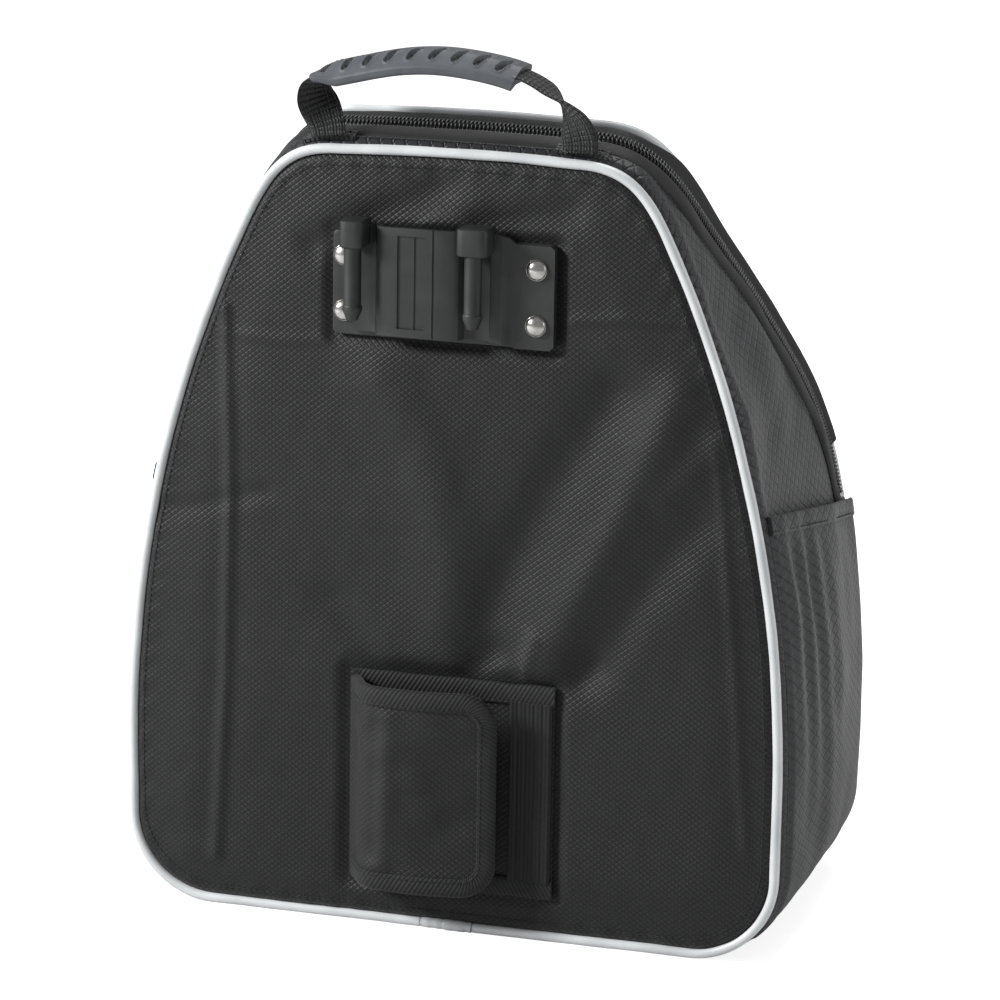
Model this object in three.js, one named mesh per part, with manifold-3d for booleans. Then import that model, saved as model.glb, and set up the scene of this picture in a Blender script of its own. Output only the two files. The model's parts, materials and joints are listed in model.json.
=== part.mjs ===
// Skate bag: a tall wedge-shaped soft case that stands on its base.
// Millimetres, +Z up, +X to the right of someone facing the front, which faces -Y.
// The origin is on the floor under the middle of the body.
import * as THREE from 'three';
import { mergeVertices } from 'three/addons/utils/BufferGeometryUtils.js';
import Module from 'manifold-3d';

const wasm = await Module();
wasm.setup();

// ---------------------------------------------------------------- driving sizes

const GAP = 0.3; // left between pieces that touch

// Front outline, seen along +Y
const WIDTH = 346;
const HEIGHT = 404;
const CORNER_R = 46; // bottom corners
const SHOULDER_INSET = 63; // from the widest half width in to the shoulder
const SHOULDER_DROP = 36.5; // from the crown down to the shoulder
const SHOULDER_LEAN = 25.8; // degrees between the side and the vertical at the shoulder
const FLANK_LOW_HANDLE = 43; // Bezier handles of the side
const FLANK_HIGH_HANDLE = 166;
const CROWN_INSET = 113; // from the widest half width in to the flat of the crown
const CROWN_DIP = 1.5;
const CROWN_HANDLES = [32.6, 21];

// Side profile, seen along X
const FRONT_Y = -80;
const DEPTH = 180; // at the base
const TOP_DEPTH = 38;
const TOP_RISE = 15; // the rear of the crown stands higher than the front
const RISE_RUN = 64; // height over which that rise fades in
const BEND_Z = 197; // the upright back ends and the bend starts
const BEND_RADIUS = 132;
const HINGE_Z = 232; // fold line of the lid

// Cloth, boards and piping
const CLOTH = 3; // padded gusset, back and lid
const FRONT_CLOTH = 4;
const BOARD = 2.5;
const BOARD_INSET = 12;
const BASE_BOARD_INSET = 8;
const FOAM = 4;
const FOAM_INSET = 12;
const PIPING_R = 2.5;
// How far the front piping stands in front of the panel
const PIPING_PROUD = 0.5;
const JOIN_LENGTH = 27;
const JOIN_R = 2.6;

// Zip band, measured from the rear edge across the gusset
const ZIP_RUN = 0.6; // clearance of the slider and between the two rows of teeth
const LID_TAPE = 4.7; // bare tape between the piping and the teeth
const TEETH = 3.5; // one row
const TEETH_HEIGHT = 3;
const TAPE_THICK = 1.2;
const FLANGE = 1.2; // side walls of the slider
const BODY_TAPE = 11; // tape of the body side, teeth included
const WELT = 9;
const WELT_PROUD = 0.6;
const ZIP_END_Z = 204;
const GUSSET_STEP = 2.6; // the full-depth gusset ends this far below the zip's ends
const STOP_LENGTH = 3;
const SLIDER_LENGTH = 12;
const SLIDER_TOP = 2;
const SLIDER_START_Z = 217;
const CROWN_LUG = 6.2; // height of the slider's lug above its plate
const PULL_LENGTH = 24;
const PULL_WIDTH = 5.5;
const PULL_THICK = 1.4;
const PULL_PIN_R = 0.9;

// Side pockets
const POCKET_FOOT_Z = 9;
const POCKET_KNEE_Z = 60;
const HEM_FRONT_Z = 232;
const HEM_REAR_Z = 200;
const HEM_WIDTH = 9;
const POCKET_CLOTH = 2;
const POCKET_BULGE = 6.6;
const POCKET_MOUTH = 6;
const POCKET_MARGIN = 5;

// Rail bracket on the front
const BRACKET_X = -4.5;
const BRACKET_DROP = 69.2; // below the crown
const PLATE_WIDTH = 115;
const PLATE_HEIGHT = 52.5;
const PLATE_THICK = 3;
const PLATE_CORNER = 3;
const CLIP_THICK = 2.6;
const CLIP_STANDOFF = 6.8;
const CLIP_RAISE = 5; // how far the clip reaches above the plate
const CLIP_FOOT = 3; // and how far it stops short of the plate's lower edge
const FINGER_R = 4.4;
const FINGER_GAP = 5.6; // free space behind a finger
const FINGER_LENGTH = 50;
const CAP_HEIGHT = 13.5;
const CAP_RAISE = 8; // top of the caps above the plate
const RIVET_HEAD_R = 5.2;
const RIVET_HEAD_HEIGHT = 3.4;
const RIVET_R = 1.9;
const RIVET_FACETS = 14;
const RIVET_COLUMNS = [-51.5, 48.5]; // from the middle of the plate
const RIVET_ROWS = [14, -14];
const BACKING_THICK = 1.5;
const BACKING_OVERHANG = 2;
const BACKING_DISC_R = 24;
const WASHER_R = 4.6;
const WASHER_THICK = 1;

// Strap wrap on the lower front
const WRAP_LEFT = -51.5;
const WRAP_RIGHT = 56;
const WRAP_FOOT_Z = 24;
const WRAP_TOP_Z = 135;
const WRAP_CLOTH = 1.5;
const WRAP_BINDING = 9.5;
const BINDING_THICK = 1.2;
const WEBBING_WIDTH = 22;
const WEBBING_THICK = 1.8;
const FLAP_CLOTH = 2.4;
const FLAP_PROUD = 20;
const FLAP_RIGHT = 30;
const FLAP_CORNER = 18;
const FLAP_MARGIN = 2; // shorter than the base patch at each end
const HOOK_PATCH_WIDTH = 20;
const HOOK_PATCH_THICK = 1.2;

// Carry handle
const HANDLE_LEFT_X = -67;
const HANDLE_RIGHT_X = 62;
const HANDLE_Y = -76.5;
const HANDLE_LIFT = 3.2; // pivot above the crown
const HANDLE_RISE = 41.5; // pivot to the middle of the grip
const STRAP_WIDTH = 25;
const STRAP_ROOT_WIDTH = 18;
const STRAP_THICK = 2.4;
const GRIP_LEFT_X = -72;
const GRIP_RIGHT_X = 32;
const GRIP_WALL = 2.4;
const ANCHOR_LENGTH = 26;
const ANCHOR_WIDTH = 5.5;
const ANCHOR_THICK = 1.2;

// ---------------------------------------------------------------- worked-out sizes

const HALF = WIDTH / 2;
const REAR_Y = FRONT_Y + DEPTH;
const BEND_Y = REAR_Y - BEND_RADIUS;
const REAR_TOP = { y: FRONT_Y + TOP_DEPTH, z: HEIGHT + TOP_RISE };
const GUSSET_FRONT = FRONT_Y + 2 * PIPING_R - GAP;
const PANEL_INSET = 2 * PIPING_R + GAP;
const TEETH_LID = PANEL_INSET + LID_TAPE;
const TEETH_BODY = TEETH_LID + TEETH + ZIP_RUN;
const ZIP_MIDDLE = TEETH_BODY - ZIP_RUN / 2;
const WELT_START = TEETH_BODY + TEETH + 2 * ZIP_RUN + FLANGE;
const GUSSET_REAR = WELT_START + WELT + 2 * GAP;
// The tape lies this much nearer the teeth than two gaps.
const TAPE_LIFT = 0.2;
const TAPE_TOP = -TEETH_HEIGHT - 2 * GAP + TAPE_LIFT;
const PLATE_Y = FRONT_Y - GAP - PLATE_THICK;
const BRACKET_Z = HEIGHT - BRACKET_DROP;

// Angle at which the straight slope leaves the bend, found as the tangent
// from the top of the back to the circle of the bend.
const toTop = { y: REAR_TOP.y - BEND_Y, z: REAR_TOP.z - BEND_Z };
const SLOPE = Math.atan2(toTop.z, toTop.y) - Math.acos(BEND_RADIUS / Math.hypot(toTop.y, toTop.z));
const HINGE_ANGLE = Math.asin((HINGE_Z - BEND_Z) / BEND_RADIUS);

// ---------------------------------------------------------------- meshes and solids

function vec(x, y, z) {
  return new THREE.Vector3(x, y, z);
}

function signedVolume(geometry) {
  const p = geometry.attributes.position;
  const index = geometry.index.array;
  const a = vec(0, 0, 0);
  const b = vec(0, 0, 0);
  const c = vec(0, 0, 0);
  let total = 0;
  for (let i = 0; i < index.length; i += 3) {
    a.fromBufferAttribute(p, index[i]);
    b.fromBufferAttribute(p, index[i + 1]);
    c.fromBufferAttribute(p, index[i + 2]);
    total += a.dot(b.cross(c)) / 6;
  }
  return total;
}

function meshOf(points, faces) {
  const geometry = new THREE.BufferGeometry();
  geometry.setAttribute('position', new THREE.Float32BufferAttribute(points.flatMap((p) => p.toArray()), 3));
  geometry.setIndex(faces.flat());
  if (signedVolume(geometry) < 0) {
    geometry.setIndex(faces.flatMap(([i, j, k]) => [i, k, j]));
  }
  geometry.computeVertexNormals();
  return geometry;
}

// Skin over a row of rings that all have the same even number of points.
// Each end is closed by strips between point i and its partner from the far end of the ring.
function loft(rings, loop = false) {
  const count = rings[0].length;
  const faces = [];
  const spans = loop ? rings.length : rings.length - 1;
  for (let r = 0; r < spans; r += 1) {
    const low = r * count;
    const high = ((r + 1) % rings.length) * count;
    for (let i = 0; i < count; i += 1) {
      const j = (i + 1) % count;
      faces.push([low + i, low + j, high + j], [low + i, high + j, high + i]);
    }
  }
  const cap = (start, flip) => {
    for (let i = 0; i < count / 2 - 1; i += 1) {
      const a = start + i;
      const b = start + i + 1;
      const c = start + count - 2 - i;
      const d = start + count - 1 - i;
      const pair = c === b ? [[a, b, d]] : [[a, b, c], [a, c, d]];
      for (const [p, q, s] of pair) {
        faces.push(flip ? [p, s, q] : [p, q, s]);
      }
    }
  };
  if (!loop) {
    cap(0, true);
    cap((rings.length - 1) * count, false);
  }
  return meshOf(rings.flat(), faces);
}

function solidOf(geometry) {
  let bare = geometry.clone();
  for (const name of ['normal', 'uv']) {
    bare.deleteAttribute(name);
  }
  bare = mergeVertices(bare);
  const vertProperties = new Float32Array(bare.attributes.position.array);
  const triVerts = new Uint32Array(bare.index.array);
  return new wasm.Manifold(new wasm.Mesh({ numProp: 3, vertProperties, triVerts }));
}

function geometryOf(solid) {
  const mesh = solid.getMesh();
  const geometry = new THREE.BufferGeometry();
  geometry.setAttribute('position', new THREE.BufferAttribute(Float32Array.from(mesh.vertProperties), 3));
  geometry.setIndex(new THREE.BufferAttribute(Uint32Array.from(mesh.triVerts), 1));
  geometry.computeVertexNormals();
  return geometry;
}

function join(...geometries) {
  return geometryOf(geometries.map(solidOf).reduce((a, b) => a.add(b)));
}

function cut(geometry, ...tools) {
  return geometryOf(tools.map(solidOf).reduce((a, b) => a.subtract(b), solidOf(geometry)));
}

function common(first, second) {
  return geometryOf(solidOf(first).intersect(solidOf(second)));
}

function extruded(outline, depth, bevel = 0) {
  const shape = outline instanceof THREE.Shape ? outline : new THREE.Shape(outline);
  return new THREE.ExtrudeGeometry(shape, {
    depth: depth - 2 * bevel,
    bevelEnabled: bevel > 0,
    bevelThickness: bevel,
    bevelSize: bevel,
    bevelOffset: -bevel,
    bevelSegments: 1,
    curveSegments: 3,
  }).translate(0, 0, bevel);
}

// Outline drawn in X and Z, thickened along Y between two planes
function prismXZ(outline, yLow, yHigh, bevel = 0) {
  const turn = new THREE.Matrix4().makeBasis(vec(1, 0, 0), vec(0, 0, 1), vec(0, -1, 0));
  return extruded(outline, yHigh - yLow, bevel).applyMatrix4(turn).translate(0, yHigh, 0);
}

// Outline drawn in Y and Z, thickened along X
function prismYZ(outline, xLow, xHigh) {
  const turn = new THREE.Matrix4().makeBasis(vec(0, 1, 0), vec(0, 0, 1), vec(1, 0, 0));
  return extruded(outline, xHigh - xLow).applyMatrix4(turn).translate(xLow, 0, 0);
}

// Outline drawn in X and Y, thickened along Z
function prismXY(outline, zLow, zHigh) {
  return extruded(outline, zHigh - zLow).translate(0, 0, zLow);
}

function boxBetween(x0, x1, y0, y1, z0, z1) {
  const box = new THREE.BoxGeometry(x1 - x0, y1 - y0, z1 - z0);
  return box.translate((x0 + x1) / 2, (y0 + y1) / 2, (z0 + z1) / 2);
}

function roundedRect(x0, x1, z0, z1, r, squareLeft = false) {
  const shape = new THREE.Shape();
  const left = squareLeft ? 0 : r;
  shape.moveTo(x0 + left, z0);
  shape.lineTo(x1 - r, z0);
  shape.absarc(x1 - r, z0 + r, r, -Math.PI / 2, 0, false);
  shape.lineTo(x1, z1 - r);
  shape.absarc(x1 - r, z1 - r, r, 0, Math.PI / 2, false);
  shape.lineTo(x0 + left, z1);
  if (!squareLeft) {
    shape.absarc(x0 + r, z1 - r, r, Math.PI / 2, Math.PI, false);
    shape.lineTo(x0, z0 + r);
    shape.absarc(x0 + r, z0 + r, r, Math.PI, 1.5 * Math.PI, false);
  }
  return shape;
}

// Pin or hole along Y
function cylinderY(x, z, r, y0, y1, sides = 8) {
  const pin = new THREE.CylinderGeometry(r, r, y1 - y0, sides);
  return pin.translate(x, (y0 + y1) / 2, z);
}

// ---------------------------------------------------------------- the body's surface

// Right half of the front outline, from the middle of the base up to the crown.
function halfOutline() {
  const lean = THREE.MathUtils.degToRad(SHOULDER_LEAN);
  const along = { x: -Math.sin(lean), z: Math.cos(lean) };
  const shoulder = { x: HALF - SHOULDER_INSET, z: HEIGHT - SHOULDER_DROP };
  const flat = { x: HALF - CROWN_INSET, z: HEIGHT - CROWN_DIP };
  const path = new THREE.Path();
  path.moveTo(0, 0);
  path.lineTo(HALF - CORNER_R, 0);
  path.absarc(HALF - CORNER_R, CORNER_R, CORNER_R, -Math.PI / 2, 0, false);
  path.bezierCurveTo(
    HALF, CORNER_R + FLANK_LOW_HANDLE,
    shoulder.x - FLANK_HIGH_HANDLE * along.x, shoulder.z - FLANK_HIGH_HANDLE * along.z,
    shoulder.x, shoulder.z,
  );
  path.bezierCurveTo(
    shoulder.x + CROWN_HANDLES[0] * along.x, shoulder.z + CROWN_HANDLES[0] * along.z,
    flat.x + CROWN_HANDLES[1], flat.z,
    flat.x, flat.z,
  );
  path.quadraticCurveTo(flat.x / 2, HEIGHT, 0, HEIGHT);
  return path;
}

const STEPS = 900;
const outlinePath = halfOutline();
const HALF_LENGTH = outlinePath.getLength();
const outlinePoints = outlinePath.getSpacedPoints(STEPS);

function smooth(t) {
  const c = THREE.MathUtils.clamp(t, 0, 1);
  return c * c * (3 - 2 * c);
}

// Distance along the outline grows from the middle of the base up the right side.
// Past the crown, or below zero, it runs on the left side.
function fold(distance) {
  if (distance < 0) {
    return { side: -1, s: -distance };
  }
  if (distance > HALF_LENGTH) {
    return { side: -1, s: 2 * HALF_LENGTH - distance };
  }
  return { side: 1, s: distance };
}

function onOutline(distance) {
  const { side, s } = fold(distance);
  const place = THREE.MathUtils.clamp((s / HALF_LENGTH) * STEPS, 0, STEPS - 1e-6);
  const i = Math.floor(place);
  const a = outlinePoints[i];
  const b = outlinePoints[i + 1];
  const t = place - i;
  const before = outlinePoints[Math.max(i - 1, 0)];
  const after = outlinePoints[Math.min(i + 2, STEPS)];
  const run = Math.hypot(after.x - before.x, after.y - before.y);
  return {
    side,
    s,
    x: side * (a.x + (b.x - a.x) * t),
    z: a.y + (b.y - a.y) * t,
    nx: (side * (after.y - before.y)) / run,
    nz: -(after.x - before.x) / run,
  };
}

function distanceAtHeight(z) {
  const i = outlinePoints.findIndex((p) => p.y >= z);
  const t = (z - outlinePoints[i - 1].y) / (outlinePoints[i].y - outlinePoints[i - 1].y);
  return ((i - 1 + t) / STEPS) * HALF_LENGTH;
}

// Distance along the outline where its upper part passes over x
function distanceAtX(x) {
  let i = STEPS;
  while (outlinePoints[i].x < Math.abs(x)) {
    i -= 1;
  }
  const s = (i / STEPS) * HALF_LENGTH;
  return x < 0 ? 2 * HALF_LENGTH - s : s;
}

// Rear edge of the side profile at a height
function rearAt(z) {
  const bendTop = BEND_Z + BEND_RADIUS * Math.sin(SLOPE);
  if (z <= BEND_Z) {
    return REAR_Y;
  }
  if (z <= bendTop) {
    return BEND_Y + Math.sqrt(BEND_RADIUS ** 2 - (z - BEND_Z) ** 2);
  }
  return BEND_Y + BEND_RADIUS * Math.cos(SLOPE) - (z - bendTop) * Math.tan(SLOPE);
}

function riseAt(z) {
  return TOP_RISE * smooth((z - HEIGHT + RISE_RUN) / RISE_RUN);
}

function rearEdge(distance) {
  const { z } = onOutline(distance);
  return rearAt(z + riseAt(z));
}

// Point on the body's surface: distance along the outline, Y, and height above the cloth
function shell(distance, y, out) {
  const p = onOutline(distance);
  const depth = rearAt(p.z + riseAt(p.z)) - FRONT_Y;
  const back = THREE.MathUtils.clamp((y - FRONT_Y) / depth, 0, 1);
  return vec(p.x + out * p.nx, y, p.z + out * p.nz + riseAt(p.z) * back);
}

// The same, measured square to the rear edge: how far in from it, and height above the cloth
function inFromRear(distance, across) {
  const { side, s } = fold(distance);
  const step = 0.5;
  const slope = (rearEdge(Math.min(s + step, HALF_LENGTH)) - rearEdge(s - step)) / (2 * step);
  const run = Math.hypot(1, slope);
  const shifted = s + (across * slope) / run;
  return { distance: side * shifted, y: rearEdge(s) - across / run };
}

function zipPoint(distance, across, out) {
  const p = inFromRear(distance, across);
  return shell(p.distance, p.y, out);
}

// Distances for rings: close where the surface turns, far apart where it is straight.
// All strips take theirs from one list, so that neighbours have the same facets.
const TURN_LIMIT = THREE.MathUtils.degToRad(8);
const LONGEST_SPAN = 45;

function commonStations() {
  const step = 1.5;
  const heading = (d) => zipPoint(d + step, 0, 0).sub(zipPoint(d - step, 0, 0)).normalize();
  const found = [0];
  let last = heading(0);
  for (let d = step; d < HALF_LENGTH - 4 * step; d += step) {
    const now = heading(d);
    if (last.angleTo(now) > TURN_LIMIT || d - found.at(-1) > LONGEST_SPAN) {
      found.push(d);
      last = now;
    }
  }
  const farSide = found.map((d) => 2 * HALF_LENGTH - d).reverse();
  const nearSide = found.slice(1).map((d) => -d).reverse();
  return [...nearSide, ...found, HALF_LENGTH, ...farSide];
}

const everyStation = commonStations();

function stations(from, to) {
  const margin = 1;
  const between = everyStation.filter((d) => d > from + margin && d < to - margin);
  return [from, ...between, to];
}

// Strip that follows the rear edge; its section is a list of [across, out]
function zipStrip(from, to, section) {
  return loft(stations(from, to).map((d) => section.map(([w, n]) => zipPoint(d, w, n))));
}

const HEM_SLOPE = (HEM_FRONT_Z - HEM_REAR_Z) / DEPTH;
const END_AT = distanceAtHeight(ZIP_END_Z);
const FOLD_AT = distanceAtHeight(HINGE_Z);
const CORNER_AT = distanceAtHeight(CORNER_R);
const SHOULDER_AT = distanceAtHeight(HEIGHT - SHOULDER_DROP);
const FAR = 2 * HALF_LENGTH;

// ---------------------------------------------------------------- front panel and gusset

function insetOutline(inset) {
  return stations(0, FAR).slice(0, -1).map((d) => {
    const p = shell(d, FRONT_Y, -inset);
    return new THREE.Vector2(p.x, p.z);
  });
}

function rivetPlaces() {
  return RIVET_COLUMNS.flatMap((dx) => RIVET_ROWS.map((dz) => ({
    x: BRACKET_X + dx,
    z: BRACKET_Z + dz,
    onClip: dx > 0,
  })));
}

function rivetHoles(yLow, yHigh) {
  return rivetPlaces().map((p) => cylinderY(p.x, p.z, RIVET_R + GAP, yLow, yHigh));
}

const BOARD_FRONT = FRONT_Y + FRONT_CLOTH + GAP;
const BACKING_FRONT = BOARD_FRONT + BOARD + GAP;
const WASHER_FRONT = BACKING_FRONT + BACKING_THICK + GAP;
const TAIL_FRONT = WASHER_FRONT + WASHER_THICK + GAP;

function frontPanel() {
  const slab = prismXZ(insetOutline(PANEL_INSET), FRONT_Y, FRONT_Y + FRONT_CLOTH);
  return cut(slab, ...rivetHoles(FRONT_Y - 1, FRONT_Y + FRONT_CLOTH + 1));
}

function frontBoard() {
  const outline = insetOutline(PANEL_INSET + BOARD_INSET);
  const slab = prismXZ(outline, BOARD_FRONT, BOARD_FRONT + BOARD);
  return cut(slab, ...rivetHoles(BOARD_FRONT - 1, BOARD_FRONT + BOARD + 1));
}

function ringAt(place, radius, sides = 6) {
  return Array.from({ length: sides }, (_, i) => {
    const turn = ((i + 0.5) / sides) * 2 * Math.PI;
    return place(radius * Math.cos(turn), radius * Math.sin(turn));
  });
}

function frontPiping() {
  const half = JOIN_LENGTH / 2 + GAP;
  const places = stations(half, FAR - half);
  const middle = FRONT_Y + PIPING_R - PIPING_PROUD;
  return loft(places.map((d) => ringAt((dy, dn) => shell(d, middle + dy, -PIPING_R + dn), PIPING_R)));
}

function frontPipingJoin() {
  const middle = FRONT_Y + PIPING_R - PIPING_PROUD;
  const ends = [-JOIN_LENGTH / 2, JOIN_LENGTH / 2];
  return loft(ends.map((d) => ringAt((dy, dn) => shell(d, middle + dy, -JOIN_R + dn), JOIN_R)));
}

// Rear edge of the gusset in Y: at the piping below the zip, at the welt above its ends
const weltLine = Array.from({ length: STEPS + 1 }, (_, i) => {
  const p = inFromRear((i / STEPS) * HALF_LENGTH, GUSSET_REAR);
  return { s: p.distance, y: p.y };
});

function gussetRear(distance, aboveZip) {
  const { s } = fold(distance);
  if (!aboveZip) {
    return rearEdge(distance) - PANEL_INSET;
  }
  const found = weltLine.findIndex((p) => p.s >= s);
  const i = found < 1 ? STEPS : found;
  const a = weltLine[i - 1];
  const b = weltLine[i];
  const t = THREE.MathUtils.clamp((s - a.s) / (b.s - a.s), 0, 1);
  return a.y + (b.y - a.y) * t;
}

function gussetRing(distance, aboveZip) {
  const rear = gussetRear(distance, aboveZip);
  return [
    shell(distance, GUSSET_FRONT, 0),
    shell(distance, rear, 0),
    shell(distance, rear, -CLOTH),
    shell(distance, GUSSET_FRONT, -CLOTH),
  ];
}

function gussetBase() {
  const places = stations(-CORNER_AT + GAP, CORNER_AT - GAP);
  return loft(places.map((d) => gussetRing(d, false)));
}

function gussetSide(side) {
  const step = END_AT - GUSSET_STEP;
  const low = stations(CORNER_AT, step).map((d) => gussetRing(side * d, false));
  const high = stations(step + 0.6, SHOULDER_AT - GAP).map((d) => gussetRing(side * d, true));
  return loft([...low, ...high]);
}

function gussetTop() {
  const places = stations(SHOULDER_AT, FAR - SHOULDER_AT);
  return loft(places.map((d) => gussetRing(d, true)));
}

function gussetWelt() {
  const low = -TEETH_HEIGHT - GAP / 3;
  const rim = WELT_PROUD - 0.8;
  return zipStrip(END_AT + GAP, FAR - END_AT - GAP, [
    [WELT_START, rim],
    [WELT_START + 1.6, WELT_PROUD],
    [WELT_START + WELT - 1.6, WELT_PROUD],
    [WELT_START + WELT, rim],
    [WELT_START + WELT, low],
    [WELT_START, low],
  ]);
}

function baseBoard() {
  const x = HALF - CORNER_R - BASE_BOARD_INSET;
  const shape = roundedRect(-x, x, GUSSET_FRONT + BASE_BOARD_INSET, REAR_Y - BASE_BOARD_INSET - CLOTH, 10);
  return prismXY(shape, CLOTH + GAP, CLOTH + GAP + BOARD);
}

// ---------------------------------------------------------------- back, lid and zip

// Side profile of the back at a depth under its face, from one place to another.
// A place is an angle round the bend; below zero it runs down the upright part in mm.
function backProfile(under, from, to) {
  const r = BEND_RADIUS - under;
  const points = [];
  if (from < 0) {
    points.push(new THREE.Vector2(REAR_Y - under, BEND_Z + from));
  }
  const start = Math.max(from, 0);
  const end = Math.min(to, SLOPE);
  const spans = Math.max(2, Math.round((end - start) / 0.09));
  for (let i = 0; i <= spans; i += 1) {
    const a = start + ((end - start) * i) / spans;
    points.push(new THREE.Vector2(BEND_Y + r * Math.cos(a), BEND_Z + r * Math.sin(a)));
  }
  if (to > SLOPE) {
    const reach = Math.hypot(HEIGHT + TOP_RISE - BEND_Z, DEPTH);
    const last = points.at(-1);
    points.push(new THREE.Vector2(last.x - reach * Math.sin(SLOPE), last.y + reach * Math.cos(SLOPE)));
  }
  return points;
}

function backSlab(under, thickness, from, to) {
  const face = backProfile(under, from, to);
  const lining = backProfile(under + thickness, from, to).reverse();
  return prismYZ([...face, ...lining], -HALF - 1, HALF + 1);
}

// Rear outline in X and Z. At the crown the sloping panel's lining reaches further forward
// than its face, so it is cut back a little more there to clear the piping.
function rearOutline(inset) {
  return stations(0, FAR).slice(0, -1).map((d) => {
    const p = onOutline(d);
    const drop = inset * (1 + 0.12 * Math.max(p.nz, 0));
    return new THREE.Vector2(p.x - inset * p.nx, p.z + riseAt(p.z) - drop * p.nz);
  });
}

const FOLD_GAP = GAP / BEND_RADIUS;

function rearPanel() {
  const slab = backSlab(0, CLOTH, -BEND_Z, HINGE_ANGLE - FOLD_GAP);
  return common(slab, prismXZ(rearOutline(PANEL_INSET), FRONT_Y, REAR_Y + 1));
}

function lidPanel() {
  const slab = backSlab(0, CLOTH, HINGE_ANGLE + FOLD_GAP, 2 * SLOPE);
  return common(slab, prismXZ(rearOutline(PANEL_INSET), FRONT_Y, REAR_Y + 1));
}

function lidFoam() {
  const start = HINGE_ANGLE + FOAM_INSET / BEND_RADIUS;
  const slab = backSlab(CLOTH + GAP, FOAM, start, 2 * SLOPE);
  return common(slab, prismXZ(rearOutline(PANEL_INSET + FOAM_INSET), FRONT_Y, REAR_Y + 1));
}

// Middle of the rear piping, touching both the gusset's face and the back's face.
function rearPipingMiddle(distance) {
  const edge = zipPoint(distance, 0, 0);
  const p = onOutline(distance);
  const angle = THREE.MathUtils.clamp(Math.asin(Math.min(1, Math.max(0, edge.z - BEND_Z) / BEND_RADIUS)), 0, SLOPE);
  const back = vec(0, Math.cos(angle), Math.sin(angle));
  const tilt = Math.atan2(riseAt(p.z), TOP_DEPTH);
  const skin = vec(p.nx, -Math.sin(tilt) * Math.max(p.nz, 0), p.nz * Math.cos(tilt)).normalize();
  const pull = PIPING_R / (1 + back.dot(skin));
  return edge.addScaledVector(back.add(skin), -pull);
}

function rearPipingRun(from, to) {
  const places = stations(from, to);
  const middles = places.map(rearPipingMiddle);
  return loft(middles.map((m, i) => {
    const ahead = middles[Math.min(i + 1, middles.length - 1)];
    const behind = middles[Math.max(i - 1, 0)];
    const along = ahead.clone().sub(behind).normalize();
    const inward = vec(0, -1, 0).addScaledVector(along, along.y).normalize();
    const other = along.clone().cross(inward);
    return ringAt((a, b) => m.clone().addScaledVector(inward, a).addScaledVector(other, b), PIPING_R);
  }));
}

function rearPiping() {
  return rearPipingRun(-FOLD_AT + GAP, FOLD_AT - GAP);
}

function lidPiping() {
  return rearPipingRun(FOLD_AT + GAP, FAR - FOLD_AT - GAP);
}

// The corner between gusset and lid opens up towards the crown, so the tape starts nearer the edge.
function tapeStart(distance) {
  const p = onOutline(distance);
  return PANEL_INSET - 1.6 * smooth(p.nz);
}

function zipTapeLid() {
  const low = TAPE_TOP - TAPE_THICK;
  const places = stations(FOLD_AT + GAP, FAR - FOLD_AT - GAP);
  return loft(places.map((d) => [
    zipPoint(d, tapeStart(d), TAPE_TOP),
    zipPoint(d, TEETH_LID + TEETH, TAPE_TOP),
    zipPoint(d, TEETH_LID + TEETH, low),
    zipPoint(d, tapeStart(d), low),
  ]));
}

function rowOfTeeth(from, to, start) {
  const chamfer = 0.7;
  const low = -TEETH_HEIGHT - GAP / 3;
  return zipStrip(from, to, [
    [start, -chamfer],
    [start + chamfer, 0],
    [start + TEETH - chamfer, 0],
    [start + TEETH, -chamfer],
    [start + TEETH, low],
    [start, low],
  ]);
}

const TEETH_FROM = END_AT + STOP_LENGTH + 2 * GAP;

function zipChainLid() {
  return rowOfTeeth(FOLD_AT + GAP, FAR - FOLD_AT - GAP, TEETH_LID);
}

function zipChainBody() {
  return rowOfTeeth(TEETH_FROM, FAR - TEETH_FROM, TEETH_BODY);
}

function zipTapeBody() {
  const low = TAPE_TOP - TAPE_THICK;
  return zipStrip(END_AT, FAR - END_AT, [
    [TEETH_BODY, TAPE_TOP],
    [TEETH_BODY + BODY_TAPE, TAPE_TOP],
    [TEETH_BODY + BODY_TAPE, low],
    [TEETH_BODY, low],
  ]);
}

// Below the fold line the lid's row of teeth and its tape belong to the body.
function zipTail(side) {
  const from = side > 0 ? TEETH_FROM : FAR - FOLD_AT + GAP;
  const to = side > 0 ? FOLD_AT - GAP : FAR - TEETH_FROM;
  return zipStrip(from, to, [
    [TEETH_LID + TEETH, 0],
    [TEETH_LID + TEETH, TAPE_TOP - TAPE_THICK],
    [PANEL_INSET, TAPE_TOP - TAPE_THICK],
    [PANEL_INSET, TAPE_TOP],
    [TEETH_LID, TAPE_TOP],
    [TEETH_LID, 0],
  ]);
}

function zipStop(side) {
  const from = side > 0 ? END_AT + GAP : FAR - END_AT - STOP_LENGTH - GAP;
  return zipStrip(from, from + STOP_LENGTH, [
    [TEETH_LID, 0.4],
    [TEETH_BODY + TEETH, 0.4],
    [TEETH_BODY + TEETH, -TEETH_HEIGHT - GAP / 3],
    [TEETH_LID, -TEETH_HEIGHT - GAP / 3],
  ]);
}

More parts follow.
